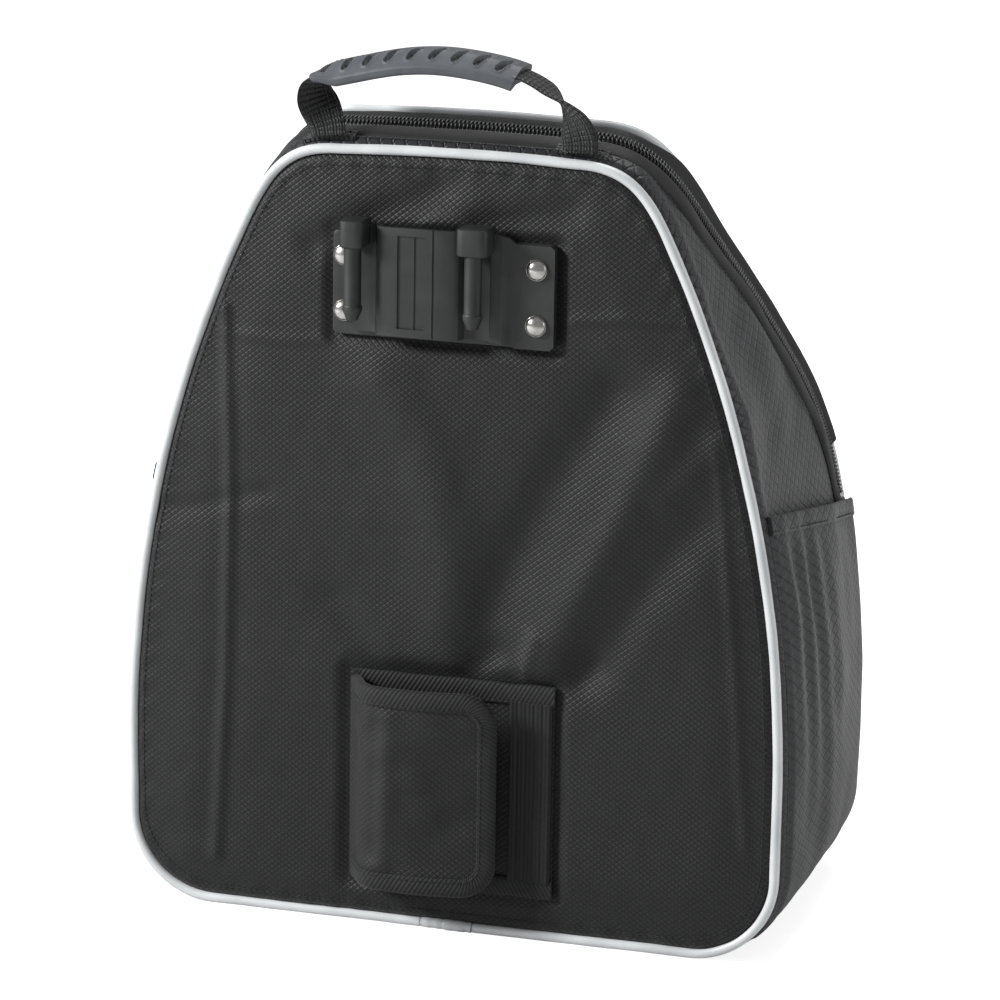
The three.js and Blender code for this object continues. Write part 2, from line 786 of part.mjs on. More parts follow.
// Frame on the zip at the slider: along the teeth, across them and out of the cloth
function sliderFrame() {
  const at = FAR - distanceAtHeight(SLIDER_START_Z);
  const origin = zipPoint(at, ZIP_MIDDLE, 0);
  const along = zipPoint(at - 4, ZIP_MIDDLE, 0).sub(zipPoint(at + 4, ZIP_MIDDLE, 0)).normalize();
  const ahead = zipPoint(at, ZIP_MIDDLE - 3, 0).sub(zipPoint(at, ZIP_MIDDLE + 3, 0)).normalize();
  const out = along.clone().cross(ahead).normalize();
  if (out.x > 0) {
    out.negate();
  }
  const across = along.clone().cross(out).normalize();
  return new THREE.Matrix4().makeBasis(across, along, out).setPosition(origin);
}

// In that frame: X across the teeth, Y up along them, Z out.
function zipSlider() {
  const half = TEETH + ZIP_RUN / 2 + ZIP_RUN;
  const wide = half + FLANGE;
  const long = SLIDER_LENGTH / 2;
  const plate = prismXY(
    [[-wide, -long], [wide, -long], [wide, long * 0.3], [half * 0.6, long], [-half * 0.6, long], [-wide, long * 0.3]]
      .map(([x, y]) => new THREE.Vector2(x, y)),
    ZIP_RUN, ZIP_RUN + SLIDER_TOP,
  );
  const walls = [-1, 1].map((s) => {
    const x0 = s > 0 ? half : -wide;
    return boxBetween(x0, x0 + FLANGE, -long, long * 0.3, -TEETH_HEIGHT + 2 * ZIP_RUN, ZIP_RUN + 1);
  });
  const lugTop = ZIP_RUN + SLIDER_TOP + CROWN_LUG;
  const lug = boxBetween(-0.9, 0.9, -3.4, 3.4, ZIP_RUN + 1, lugTop);
  const eye = new THREE.CylinderGeometry(1.4, 1.4, 6, 12).rotateZ(Math.PI / 2);
  eye.translate(0, 0, ZIP_RUN + SLIDER_TOP + CROWN_LUG / 2 + 0.2);
  return cut(join(plate, ...walls, lug), eye);
}

function zipPull() {
  const height = ZIP_RUN + SLIDER_TOP + CROWN_LUG / 2 + 0.2;
  const half = PULL_WIDTH / 2;
  const low = height - PULL_THICK / 2;
  const tab = extruded(roundedRect(-half, half, -PULL_LENGTH, 1.7, 1.2), PULL_THICK).translate(0, 0, low);
  const window = boxBetween(-1.3, 1.3, -5, PULL_PIN_R + 3, low - 1, low + PULL_THICK + 1);
  const pin = new THREE.CylinderGeometry(PULL_PIN_R, PULL_PIN_R, PULL_WIDTH - 1, 12).rotateZ(Math.PI / 2);
  pin.translate(0, 0, height);
  return join(cut(tab, window), pin);
}

// ---------------------------------------------------------------- side pockets

function hemHeight(y) {
  return HEM_FRONT_Z - HEM_SLOPE * (y - FRONT_Y);
}

const POCKET_FRONT = GUSSET_FRONT + POCKET_MARGIN;
const POCKET_REAR = REAR_Y - PANEL_INSET - GAP;
const POCKET_COLUMNS = [0, 0.1, 0.26, 0.46, 0.68, 0.85, 1];
const POCKET_KNEE = distanceAtHeight(POCKET_KNEE_Z);
const POCKET_LOW_ROWS = 10;
const POCKET_HIGH_ROWS = 6;
const POCKET_LOW_SHARE = 0.3;

// How far the pocket's cloth stands off the gusset
function pocketLift(across, up) {
  const arch = Math.sin(Math.PI * across) ** 0.9;
  const foot = smooth(up / 0.3);
  const fullness = POCKET_MOUTH + (POCKET_BULGE - POCKET_MOUTH) * Math.sin(Math.PI * Math.min(up, 1));
  return 2 * GAP + fullness * arch * foot;
}

// Rows run level round the bottom corner and then lean into line with the hem.
function pocketPoint(side, across, up, extra, below = HEM_WIDTH + GAP) {
  const y = POCKET_FRONT + (POCKET_REAR - POCKET_FRONT) * across;
  const foot = distanceAtHeight(POCKET_FOOT_Z);
  const top = distanceAtHeight(hemHeight(y) - below);
  const low = foot + (POCKET_KNEE - foot) * Math.min(up / POCKET_LOW_SHARE, 1);
  const high = (top - POCKET_KNEE) * Math.max((up - POCKET_LOW_SHARE) / (1 - POCKET_LOW_SHARE), 0);
  return shell(side * (low + high), y, pocketLift(across, up) + extra);
}

const POCKET_ROWS = [
  ...Array.from({ length: POCKET_LOW_ROWS }, (_, i) => (POCKET_LOW_SHARE * i) / POCKET_LOW_ROWS),
  ...Array.from({ length: POCKET_HIGH_ROWS + 1 }, (_, i) => (
    POCKET_LOW_SHARE + ((1 - POCKET_LOW_SHARE) * i) / POCKET_HIGH_ROWS
  )),
];

function sidePocket(side) {
  return loft(POCKET_ROWS.map((up) => [
    ...POCKET_COLUMNS.map((c) => pocketPoint(side, c, up, POCKET_CLOTH)),
    ...POCKET_COLUMNS.toReversed().map((c) => pocketPoint(side, c, up, 0)),
  ]));
}

function pocketHem(side) {
  const ring = (below) => [
    ...POCKET_COLUMNS.map((c) => pocketPoint(side, c, 1, POCKET_CLOTH + 0.6, below)),
    ...POCKET_COLUMNS.toReversed().map((c) => pocketPoint(side, c, 1, 0, below)),
  ];
  return loft([ring(HEM_WIDTH), ring(0)]);
}

// ---------------------------------------------------------------- rail bracket

const CLIP_LEFT = RIVET_COLUMNS[0] + RIVET_HEAD_R + 2 * GAP;
const HOOKS = [
  { middle: -43, capWidth: 12 },
  { middle: 19, capWidth: 16 },
];

// Height of the clip's mid-surface above the plate, as [x from the plate's middle, height]
function clipWave() {
  const rest = GAP + CLIP_THICK / 2;
  const land = rest + CLIP_STANDOFF;
  const ridge = rest + CLIP_STANDOFF * 0.5;
  return [
    [CLIP_LEFT, rest], [-36, rest], [-33, rest + 1.2], [-31, land - 1.2], [-28.5, land],
    [7, land], [9, land - 1], [11, rest + 1], [13, rest],
    [24.5, rest], [25.5, rest + 0.6], [26.5, ridge], [31, ridge], [34, rest + 0.9], [37, rest],
    [PLATE_WIDTH / 2, rest],
  ];
}

function thickened(line, half) {
  const side = (sign) => line.map(([x, q], i) => {
    const a = line[Math.max(i - 1, 0)];
    const b = line[Math.min(i + 1, line.length - 1)];
    const run = Math.hypot(b[0] - a[0], b[1] - a[1]);
    const nx = -(b[1] - a[1]) / run;
    const nq = (b[0] - a[0]) / run;
    return [x + sign * half * nx, q + sign * half * nq];
  });
  return [...side(1), ...side(-1).reverse()];
}

function clipSheet() {
  const section = thickened(clipWave(), CLIP_THICK / 2)
    .map(([x, q]) => new THREE.Vector2(BRACKET_X + x, PLATE_Y - q));
  const low = BRACKET_Z - PLATE_HEIGHT / 2;
  const high = BRACKET_Z + PLATE_HEIGHT / 2;
  const right = BRACKET_X + PLATE_WIDTH / 2;
  const shape = new THREE.Shape();
  shape.moveTo(BRACKET_X + CLIP_LEFT - 1, low + CLIP_FOOT);
  shape.lineTo(BRACKET_X + 26, low + CLIP_FOOT);
  shape.quadraticCurveTo(BRACKET_X + 33, low + CLIP_FOOT, BRACKET_X + 38, low + 0.2);
  shape.lineTo(right - 2, low + 0.2);
  shape.lineTo(right + 1, low + 3);
  shape.lineTo(right + 1, high - 3);
  shape.lineTo(right - 2, high - 0.2);
  shape.lineTo(BRACKET_X + 38, high - 0.2);
  shape.quadraticCurveTo(BRACKET_X + 33, high + CLIP_RAISE, BRACKET_X + 26, high + CLIP_RAISE);
  shape.lineTo(BRACKET_X + CLIP_LEFT - 1, high + CLIP_RAISE);
  const outline = prismXZ(shape, PLATE_Y - 20, PLATE_Y + 1);
  return common(prismXY(section, low - 5, high + 15), outline);
}

function hook({ middle, capWidth }) {
  const x = BRACKET_X + middle;
  const top = BRACKET_Z + PLATE_HEIGHT / 2 + CAP_RAISE;
  const floor = PLATE_Y - GAP - CLIP_THICK;
  const fingerY = floor - FINGER_GAP - FINGER_R;
  const capFront = fingerY - FINGER_R - 0.8;
  const capShape = new THREE.Shape();
  const half = capWidth / 2;
  capShape.moveTo(x - half, floor + 1);
  capShape.lineTo(x + half, floor + 1);
  capShape.lineTo(x + half, capFront + 4);
  capShape.quadraticCurveTo(x + half, capFront, x + half - 4, capFront);
  capShape.lineTo(x - half + 4, capFront);
  capShape.quadraticCurveTo(x - half, capFront, x - half, capFront + 4);
  const cap = extruded(capShape, CAP_HEIGHT, 0.6).translate(0, 0, top - CAP_HEIGHT);
  const tip = top - FINGER_LENGTH;
  const profile = [
    [0, tip], [FINGER_R - 1.6, tip], [FINGER_R + 0.5, tip + 5], [FINGER_R + 0.5, tip + 7],
    [FINGER_R, tip + 7.6], [FINGER_R, top - CAP_HEIGHT + 2], [0, top - CAP_HEIGHT + 2],
  ].map(([r, z]) => new THREE.Vector2(r, z));
  const finger = new THREE.LatheGeometry(profile, 16).rotateX(Math.PI / 2).translate(x, fingerY, 0);
  return join(cap, finger);
}

function clipBracket() {
  const face = PLATE_Y - GAP - CLIP_THICK - CLIP_STANDOFF;
  const low = BRACKET_Z - PLATE_HEIGHT / 2 + CLIP_FOOT + 4;
  const high = BRACKET_Z + PLATE_HEIGHT / 2 + CLIP_RAISE - 4;
  const x = BRACKET_X - 21;
  const recess = boxBetween(x, x + 14, face - 1, face + 0.8, low, high);
  const groove = boxBetween(x + 8.5, x + 9.7, face - 1, face + 1.3, low, high);
  const seam = boxBetween(x + 18, x + 19, face - 1, face + 0.6, low - 8, high + 8);
  const holes = rivetHoles(PLATE_Y - 10, PLATE_Y + 1).slice(2);
  return cut(join(clipSheet(), ...HOOKS.map(hook)), recess, groove, seam, ...holes);
}

function bracketPlate() {
  const x = PLATE_WIDTH / 2;
  const z = PLATE_HEIGHT / 2;
  const shape = roundedRect(BRACKET_X - x, BRACKET_X + x, BRACKET_Z - z, BRACKET_Z + z, PLATE_CORNER);
  const plate = prismXZ(shape, PLATE_Y, PLATE_Y + PLATE_THICK, 0.4);
  return cut(plate, ...rivetHoles(PLATE_Y - 1, PLATE_Y + PLATE_THICK + 1));
}

function bracketBacking() {
  const x = PLATE_WIDTH / 2 + BACKING_OVERHANG;
  const z = PLATE_HEIGHT / 2 + BACKING_OVERHANG;
  const shape = roundedRect(BRACKET_X - x, BRACKET_X + x, BRACKET_Z - z, BRACKET_Z + z, 6);
  const plate = prismXZ(shape, BACKING_FRONT, BACKING_FRONT + BACKING_THICK);
  const discZ = BRACKET_Z + z - BACKING_DISC_R + 12;
  const disc = cylinderY(BRACKET_X, discZ, BACKING_DISC_R, BACKING_FRONT, BACKING_FRONT + BACKING_THICK, 24);
  return cut(join(plate, disc), ...rivetHoles(BACKING_FRONT - 1, BACKING_FRONT + BACKING_THICK + 1));
}

// Domed head at the front, shank through the layers and a clenched tail behind the washer
function rivet(place) {
  const under = place.onClip ? PLATE_Y - GAP - CLIP_THICK - GAP : PLATE_Y - GAP;
  const length = TAIL_FRONT - under;
  const dome = Array.from({ length: 5 }, (_, i) => {
    const a = (i / 4) * (Math.PI / 2);
    return [RIVET_HEAD_R * Math.sin(a), -RIVET_HEAD_HEIGHT * Math.cos(a) - 0.4];
  });
  const profile = [
    ...dome, [RIVET_HEAD_R, 0], [RIVET_R, 0], [RIVET_R, length], [RIVET_R + 1.2, length],
    [RIVET_R + 0.6, length + 1], [0, length + 1],
  ].map(([r, y]) => new THREE.Vector2(r, y));
  return new THREE.LatheGeometry(profile, RIVET_FACETS).translate(place.x, under, place.z);
}

function rivetWasher(place) {
  const rear = WASHER_FRONT + WASHER_THICK;
  const ring = cylinderY(place.x, place.z, WASHER_R, WASHER_FRONT, rear, RIVET_FACETS);
  return cut(ring, cylinderY(place.x, place.z, RIVET_R + GAP, WASHER_FRONT - 1, rear + 1));
}

// ---------------------------------------------------------------- strap wrap

const WRAP_Y = FRONT_Y - GAP - WRAP_CLOTH;

function wrapBase() {
  const shape = roundedRect(WRAP_LEFT, WRAP_RIGHT, WRAP_FOOT_Z, WRAP_TOP_Z, 2);
  return prismXZ(shape, WRAP_Y, WRAP_Y + WRAP_CLOTH);
}

function wrapBinding(atTop) {
  const low = atTop ? WRAP_TOP_Z - WRAP_BINDING : WRAP_FOOT_Z;
  const shape = roundedRect(WRAP_LEFT + 6, WRAP_RIGHT, low, low + WRAP_BINDING, 1);
  return prismXZ(shape, WRAP_Y - GAP - BINDING_THICK, WRAP_Y - GAP);
}

function wrapLoopWebbing() {
  const low = WRAP_FOOT_Z + WRAP_BINDING + GAP;
  const high = WRAP_TOP_Z - WRAP_BINDING - GAP;
  const shape = roundedRect(WRAP_RIGHT - 1 - WEBBING_WIDTH, WRAP_RIGHT - 1, low, high, 1);
  return prismXZ(shape, WRAP_Y - GAP - WEBBING_THICK, WRAP_Y - GAP);
}

const FLAP_HINGE = { x: WRAP_LEFT + 1.6, y: WRAP_Y - GAP - FLAP_CLOTH / 2 };

// Mid-line of the flap in plan: out from the seam, over a soft crease and across to the free edge
function flapLine() {
  const y = FLAP_HINGE.y;
  const out = y - FLAP_PROUD + 2;
  const curve = new THREE.SplineCurve([
    new THREE.Vector2(FLAP_HINGE.x, y),
    new THREE.Vector2(FLAP_HINGE.x + 5, y - 5),
    new THREE.Vector2(FLAP_HINGE.x + 11, y - FLAP_PROUD * 0.72),
    new THREE.Vector2(FLAP_HINGE.x + 20, out - 0.6),
    new THREE.Vector2(-8, out - 1.4),
    new THREE.Vector2(12, out + 1.6),
    new THREE.Vector2(FLAP_RIGHT, out + 6.5),
  ]);
  return curve.getSpacedPoints(18).map((p) => [p.x, p.y]);
}

// Slab between two offsets of that line; below zero is the outer face
function flapSlab(inner, outer, fromX = -Infinity) {
  const line = flapLine().filter(([x]) => x >= fromX);
  const shift = (amount) => line.map(([x, y], i) => {
    const a = line[Math.max(i - 1, 0)];
    const b = line[Math.min(i + 1, line.length - 1)];
    const run = Math.hypot(b[0] - a[0], b[1] - a[1]);
    return new THREE.Vector2(x - (amount * (b[1] - a[1])) / run, y + (amount * (b[0] - a[0])) / run);
  });
  return prismXY([...shift(inner), ...shift(outer).reverse()], WRAP_FOOT_Z - 5, WRAP_TOP_Z + 5);
}

function flapOutline(inset) {
  const low = WRAP_FOOT_Z + FLAP_MARGIN;
  const high = WRAP_TOP_Z - FLAP_MARGIN;
  const r = Math.max(FLAP_CORNER - inset, 2);
  return roundedRect(WRAP_LEFT - 5, FLAP_RIGHT - inset, low + inset, high - inset, r, true);
}

function wrapFlap() {
  const slab = flapSlab(FLAP_CLOTH / 2, -FLAP_CLOTH / 2);
  return common(slab, prismXZ(flapOutline(0), FRONT_Y - 60, FRONT_Y));
}

function wrapFlapBinding() {
  const face = -FLAP_CLOTH / 2 - GAP;
  const slab = flapSlab(face, face - BINDING_THICK, FLAP_HINGE.x + 8);
  const ring = cut(
    prismXZ(flapOutline(0), FRONT_Y - 60, FRONT_Y),
    prismXZ(flapOutline(WRAP_BINDING), FRONT_Y - 61, FRONT_Y + 1),
  );
  return common(slab, ring);
}

function wrapHookPatch() {
  const face = FLAP_CLOTH / 2 + GAP;
  const slab = flapSlab(face + HOOK_PATCH_THICK, face, FLAP_RIGHT - HOOK_PATCH_WIDTH - 8);
  const x = FLAP_RIGHT - WRAP_BINDING / 2;
  const inset = FLAP_CORNER;
  const shape = roundedRect(x - HOOK_PATCH_WIDTH, x, WRAP_FOOT_Z + inset, WRAP_TOP_Z - inset, 1.5);
  return common(slab, prismXZ(shape, FRONT_Y - 60, FRONT_Y));
}

// ---------------------------------------------------------------- carry handle

const CROWN_AT_HANDLE = shell(distanceAtX(HANDLE_RIGHT_X), HANDLE_Y, 0).z;
const HANDLE_Z = CROWN_AT_HANDLE + HANDLE_LIFT;

function handleLine() {
  const at = (x, up) => vec(x, HANDLE_Y, HANDLE_Z + up);
  const top = HANDLE_RISE;
  return new THREE.CatmullRomCurve3([
    at(HANDLE_LEFT_X, -0.5), at(HANDLE_LEFT_X - 0.6, 4), at(HANDLE_LEFT_X - 3.5, 11.5),
    at(HANDLE_LEFT_X - 7, 19), at(HANDLE_LEFT_X - 7.2, 25), at(HANDLE_LEFT_X - 2, 29.8),
    at(GRIP_LEFT_X + 22, top - 6), at(GRIP_LEFT_X + 48, top - 0.6), at(GRIP_RIGHT_X - 32, top),
    at(GRIP_RIGHT_X, top - 5.5), at(GRIP_RIGHT_X + 16, top - 14), at(HANDLE_RIGHT_X - 3.4, 15),
    at(HANDLE_RIGHT_X - 0.2, 5), at(HANDLE_RIGHT_X, -0.5),
  ]);
}

const STRAP_SPANS = 60;

// Stations on the handle with the strap's twist: flat to the hand in the grip, flat to the front at its roots
function handleFrames(from, to) {
  const line = handleLine();
  return Array.from({ length: to - from + 1 }, (_, i) => {
    const t = (from + i) / STRAP_SPANS;
    const middle = line.getPointAt(t);
    const along = line.getTangentAt(t);
    const root = Math.min(smooth(t / 0.2), smooth((1 - t) / 0.2));
    const side = vec(along.z, 0, -along.x);
    const turn = (root * Math.PI) / 2;
    const wide = side.multiplyScalar(Math.cos(turn)).add(vec(0, Math.sin(turn), 0)).normalize();
    return { middle, wide, thin: along.clone().cross(wide), root };
  });
}

function plate(frame, width, thick) {
  return [[-1, -1], [1, -1], [1, 1], [-1, 1]].map(([a, b]) => frame.middle.clone()
    .addScaledVector(frame.wide, (a * width) / 2)
    .addScaledVector(frame.thin, (b * thick) / 2));
}

function handleWebbing() {
  return loft(handleFrames(0, STRAP_SPANS).map((f) => {
    const width = STRAP_ROOT_WIDTH + (STRAP_WIDTH - STRAP_ROOT_WIDTH) * f.root;
    return plate(f, width, STRAP_THICK);
  }));
}

function gripSection(frame, width, thick, sides = 12) {
  return Array.from({ length: sides }, (_, i) => {
    const a = ((i + 0.5) / sides) * 2 * Math.PI;
    const c = Math.cos(a);
    const s = Math.sin(a);
    return frame.middle.clone()
      .addScaledVector(frame.wide, (Math.sign(c) * Math.abs(c) ** 0.45 * width) / 2)
      .addScaledVector(frame.thin, (Math.sign(s) * Math.abs(s) ** 0.6 * thick) / 2);
  });
}

function handleGrip() {
  const line = handleLine();
  const spans = Array.from({ length: STRAP_SPANS + 1 }, (_, i) => i);
  const xAt = (i) => line.getPointAt(i / STRAP_SPANS).x;
  const from = spans.find((i) => i > STRAP_SPANS * 0.15 && xAt(i) > GRIP_LEFT_X + 1);
  const to = spans.find((i) => i > STRAP_SPANS * 0.5 && xAt(i) > GRIP_RIGHT_X);
  const wide = STRAP_WIDTH + 4 * GAP + 2 * GRIP_WALL;
  const outer = loft(handleFrames(from, to).map((f, i) => {
    const fullness = smooth(i / 6);
    const wall = GRIP_WALL * (0.5 + 0.6 * fullness);
    return gripSection(f, wide, STRAP_THICK + 4 * GAP + 2 * wall);
  }));
  const inner = loft(handleFrames(from - 1, to + 1).map((f) => {
    return plate(f, STRAP_WIDTH + 4 * GAP, STRAP_THICK + 4 * GAP);
  }));
  return cut(outer, inner);
}

function handleAnchor(x) {
  const middle = distanceAtX(x);
  const front = GUSSET_FRONT + GAP;
  const places = [-1, -0.34, 0.34, 1].map((t) => middle + (t * ANCHOR_LENGTH) / 2);
  return loft(places.map((d) => [
    shell(d, front, GAP),
    shell(d, front + ANCHOR_WIDTH, GAP),
    shell(d, front + ANCHOR_WIDTH, GAP + ANCHOR_THICK),
    shell(d, front, GAP + ANCHOR_THICK),
  ]));
}

// ---------------------------------------------------------------- materials and assembly

function material(colour, roughness, metalness = 0) {
  return new THREE.MeshStandardMaterial({ color: colour, roughness, metalness });
}

const FABRIC = material('#1b1d20', 0.85);
const SIDE_FABRIC = material('#2b2f35', 0.8);
const BINDING = material('#24262a', 0.9);
const LIGHT_PIPING = material('#c9ced1', 0.5);
const TAPE = material('#17181a', 0.9);
const COIL = material('#1e2023', 0.45);
const HARD_BOARD = material('#3a3a3c', 0.7);
const FOAM_BLACK = material('#26272a', 0.95);
const MOULDED = material('#26282b', 0.5);
const RUBBER = material('#3a4046', 0.6);
const NICKEL = material('#c4c6c8', 0.22, 1);
const WEBBING = material('#191b1e', 0.9);

const group = new THREE.Group();

function add(name, geometry, look) {
  const mesh = new THREE.Mesh(geometry, look);
  mesh.name = name;
  group.add(mesh);
  return mesh;
}

add('front_panel', frontPanel(), FABRIC);
add('front_board', frontBoard(), HARD_BOARD);
add('front_piping', frontPiping(), LIGHT_PIPING);
add('front_piping_join', frontPipingJoin(), LIGHT_PIPING);
add('gusset_base', gussetBase(), SIDE_FABRIC);
add('gusset_right', gussetSide(1), SIDE_FABRIC);
add('gusset_left', gussetSide(-1), SIDE_FABRIC);
add('gusset_top', gussetTop(), SIDE_FABRIC);
add('gusset_welt', gussetWelt(), BINDING);
add('base_board', baseBoard(), HARD_BOARD);
add('rear_panel', rearPanel(), FABRIC);
add('rear_piping', rearPiping(), LIGHT_PIPING);
add('lid_panel', lidPanel(), FABRIC);
add('lid_foam', lidFoam(), FOAM_BLACK);
add('lid_piping', lidPiping(), LIGHT_PIPING);
add('zip_tape_lid', zipTapeLid(), TAPE);
add('zip_chain_lid', zipChainLid(), COIL);
add('zip_tape_body', zipTapeBody(), TAPE);
add('zip_chain_body', zipChainBody(), COIL);
for (const [word, side] of [['right', 1], ['left', -1]]) {
  add(`zip_tail_${word}`, zipTail(side), TAPE);
  add(`zip_stop_${word}`, zipStop(side), NICKEL);
  add(`side_pocket_${word}`, sidePocket(side), SIDE_FABRIC);
  add(`pocket_hem_${word}`, pocketHem(side), BINDING);
}
for (const [name, geometry] of [['zip_slider', zipSlider()], ['zip_pull', zipPull()]]) {
  add(name, geometry, NICKEL).applyMatrix4(sliderFrame());
}
add('bracket_plate', bracketPlate(), MOULDED);
add('clip_bracket', clipBracket(), MOULDED);
add('bracket_backing', bracketBacking(), HARD_BOARD);
rivetPlaces().forEach((place, i) => {
  add(`rivet_${i + 1}`, rivet(place), NICKEL);
  add(`rivet_washer_${i + 1}`, rivetWasher(place), NICKEL);
});
add('wrap_base', wrapBase(), FABRIC);
add('wrap_binding_top', wrapBinding(true), BINDING);
add('wrap_binding_bottom', wrapBinding(false), BINDING);
add('wrap_loop_webbing', wrapLoopWebbing(), WEBBING);
add('wrap_flap', wrapFlap(), FABRIC);
add('wrap_flap_binding', wrapFlapBinding(), BINDING);
add('wrap_hook_patch', wrapHookPatch(), WEBBING);
add('handle_webbing', handleWebbing(), WEBBING);
add('handle_grip', handleGrip(), RUBBER);
add('handle_anchor_left', handleAnchor(HANDLE_LEFT_X), WEBBING);
add('handle_anchor_right', handleAnchor(HANDLE_RIGHT_X), WEBBING);

export default group;
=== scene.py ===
"""Skate bag: the looks of a tall wedge-shaped soft case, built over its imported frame.

All sizes are millimetres until a mesh is made. The origin is on the floor under the middle of the body,
X runs to the right of someone facing the front, Y runs to the rear and Z up.
"""

import json
import logging
from collections.abc import Sequence
from dataclasses import dataclass, field
from enum import Enum
from functools import cached_property

import bmesh
import bpy
import numpy as np
from mathutils import Matrix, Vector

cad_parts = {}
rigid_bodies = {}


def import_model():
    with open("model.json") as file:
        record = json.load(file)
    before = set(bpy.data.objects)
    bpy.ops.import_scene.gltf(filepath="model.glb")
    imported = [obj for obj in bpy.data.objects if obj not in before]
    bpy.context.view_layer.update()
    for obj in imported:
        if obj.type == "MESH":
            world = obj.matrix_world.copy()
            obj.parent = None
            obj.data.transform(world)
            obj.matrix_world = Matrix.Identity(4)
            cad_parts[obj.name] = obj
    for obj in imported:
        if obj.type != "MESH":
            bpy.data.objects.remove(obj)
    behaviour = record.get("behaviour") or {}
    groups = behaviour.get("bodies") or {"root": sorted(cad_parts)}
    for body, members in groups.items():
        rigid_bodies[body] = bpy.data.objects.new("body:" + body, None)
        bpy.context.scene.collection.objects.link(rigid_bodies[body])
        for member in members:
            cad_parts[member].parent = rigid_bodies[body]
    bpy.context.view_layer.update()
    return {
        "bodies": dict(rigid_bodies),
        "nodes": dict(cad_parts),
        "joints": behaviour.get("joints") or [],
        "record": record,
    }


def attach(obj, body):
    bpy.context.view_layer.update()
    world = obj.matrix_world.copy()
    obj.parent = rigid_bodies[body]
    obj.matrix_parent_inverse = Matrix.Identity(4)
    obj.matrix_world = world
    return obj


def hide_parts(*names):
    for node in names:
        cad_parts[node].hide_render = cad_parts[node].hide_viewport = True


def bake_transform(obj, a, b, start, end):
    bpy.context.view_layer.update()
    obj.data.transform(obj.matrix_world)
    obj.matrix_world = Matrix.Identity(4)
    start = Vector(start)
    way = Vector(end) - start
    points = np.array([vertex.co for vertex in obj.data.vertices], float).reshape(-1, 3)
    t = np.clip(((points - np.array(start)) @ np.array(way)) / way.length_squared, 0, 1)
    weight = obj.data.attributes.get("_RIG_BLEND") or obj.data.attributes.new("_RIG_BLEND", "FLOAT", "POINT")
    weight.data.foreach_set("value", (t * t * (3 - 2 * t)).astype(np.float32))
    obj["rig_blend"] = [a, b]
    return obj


MM = 0.001
GAP = 0.3
LOG = logging.getLogger("skate_bag")
Array = np.ndarray


# ------------------------------------------------------------------ curves and fields


def smooth(value: Array | float) -> Array:
    """A soft step: 0 below zero, 1 above one, and 3t² - 2t³ between."""
    held = np.clip(value, 0.0, 1.0)
    return held * held * (3.0 - 2.0 * held)


def unit(vectors: Array) -> Array:
    """The same directions with length one."""
    return vectors / np.maximum(np.linalg.norm(vectors, axis=-1, keepdims=True), 1e-9)


def along_path(points: Array) -> Array:
    """Distance travelled at each point of a polyline, starting at zero."""
    steps = np.linalg.norm(np.diff(points, axis=0), axis=-1)
    return np.concatenate([[0.0], np.cumsum(steps)])


def at_distance(points: Array, distance: Array) -> Array:
    """Points at given distances along a polyline.

    Args:
        points: The polyline, one row a point.
        distance: Distances from its start.

    Returns:
        One row for each distance.
    """
    travelled = along_path(points)
    return np.stack([np.interp(distance, travelled, column) for column in points.T], axis=-1)


def bezier(controls: Sequence[tuple[float, float]], steps: int = 400) -> Array:
    """Points on a Bezier curve, by repeated straight blends between its control points.

    Args:
        controls: The control points.
        steps: How many points to give.

    Returns:
        The points, evenly spaced in the curve's own parameter.
    """
    t = np.linspace(0.0, 1.0, steps)[:, None, None]
    level = np.broadcast_to(np.array(controls, float), (steps, len(controls), 2))
    while level.shape[1] > 1:
        level = level[:, :-1] * (1 - t) + level[:, 1:] * t
    return level[:, 0]


def spline(points: Array, steps: int, centripetal: bool) -> Array:
    """A Catmull-Rom curve through points: in each span, a cubic whose end slopes come from the neighbours.

    Args:
        points: The points to pass through.
        steps: Points given for each span.
        centripetal: Knots spaced by the root of the distance, and not evenly.

    Returns:
        The curve as a polyline.
    """
    pts = np.asarray(points, float)
    if centripetal:
        pts = np.concatenate([[2 * pts[0] - pts[1]], pts, [2 * pts[-1] - pts[-2]]])
    else:
        pts = np.concatenate([[pts[0]], pts, [pts[-1]]])
    knots = np.linalg.norm(np.diff(pts, axis=0), axis=1) ** 0.5 if centripetal else np.ones(len(pts) - 1)
    knots = np.maximum(knots, 1e-4)[:, None]
    a, b, c, d = pts[:-3], pts[1:-2], pts[2:-1], pts[3:]
    k0, k1, k2 = knots[:-2], knots[1:-1], knots[2:]
    first = ((b - a) / k0 - (c - a) / (k0 + k1) + (c - b) / k1) * k1
    last = ((c - b) / k1 - (d - b) / (k1 + k2) + (d - c) / k2) * k1
    t = np.linspace(0.0, 1.0, steps, endpoint=False)[:, None, None]
    curve = b + first * t + (-3 * b + 3 * c - 2 * first - last) * t**2 + (2 * b - 2 * c + first + last) * t**3
    return np.concatenate([curve.transpose(1, 0, 2).reshape(-1, pts.shape[1]), pts[-2:-1]])


def ripple(u: Array, v: Array, longest: float, seed: int, waves: int = 9) -> Array:
    """Soft random unevenness: the mean of sine waves that run in random directions, within about ±1.

    Args:
        u: First flat coordinate.
        v: Second flat coordinate.
        longest: Longest wavelength; the shortest is a third of it.
        seed: Seed of the random directions, lengths and phases.
        waves: How many waves.

    Returns:
        The height at each place.
    """
    random = np.random.default_rng(seed)
    total = np.zeros(np.broadcast(u, v).shape)
    for turn, length, phase in random.random((waves, 3)):
        heading = turn * 2 * np.pi
        total += np.sin(
            2 * np.pi * ((u * np.cos(heading) + v * np.sin(heading)) / (longest * (1 - 0.67 * length)) + phase)
        )
    return total / waves * 2.0


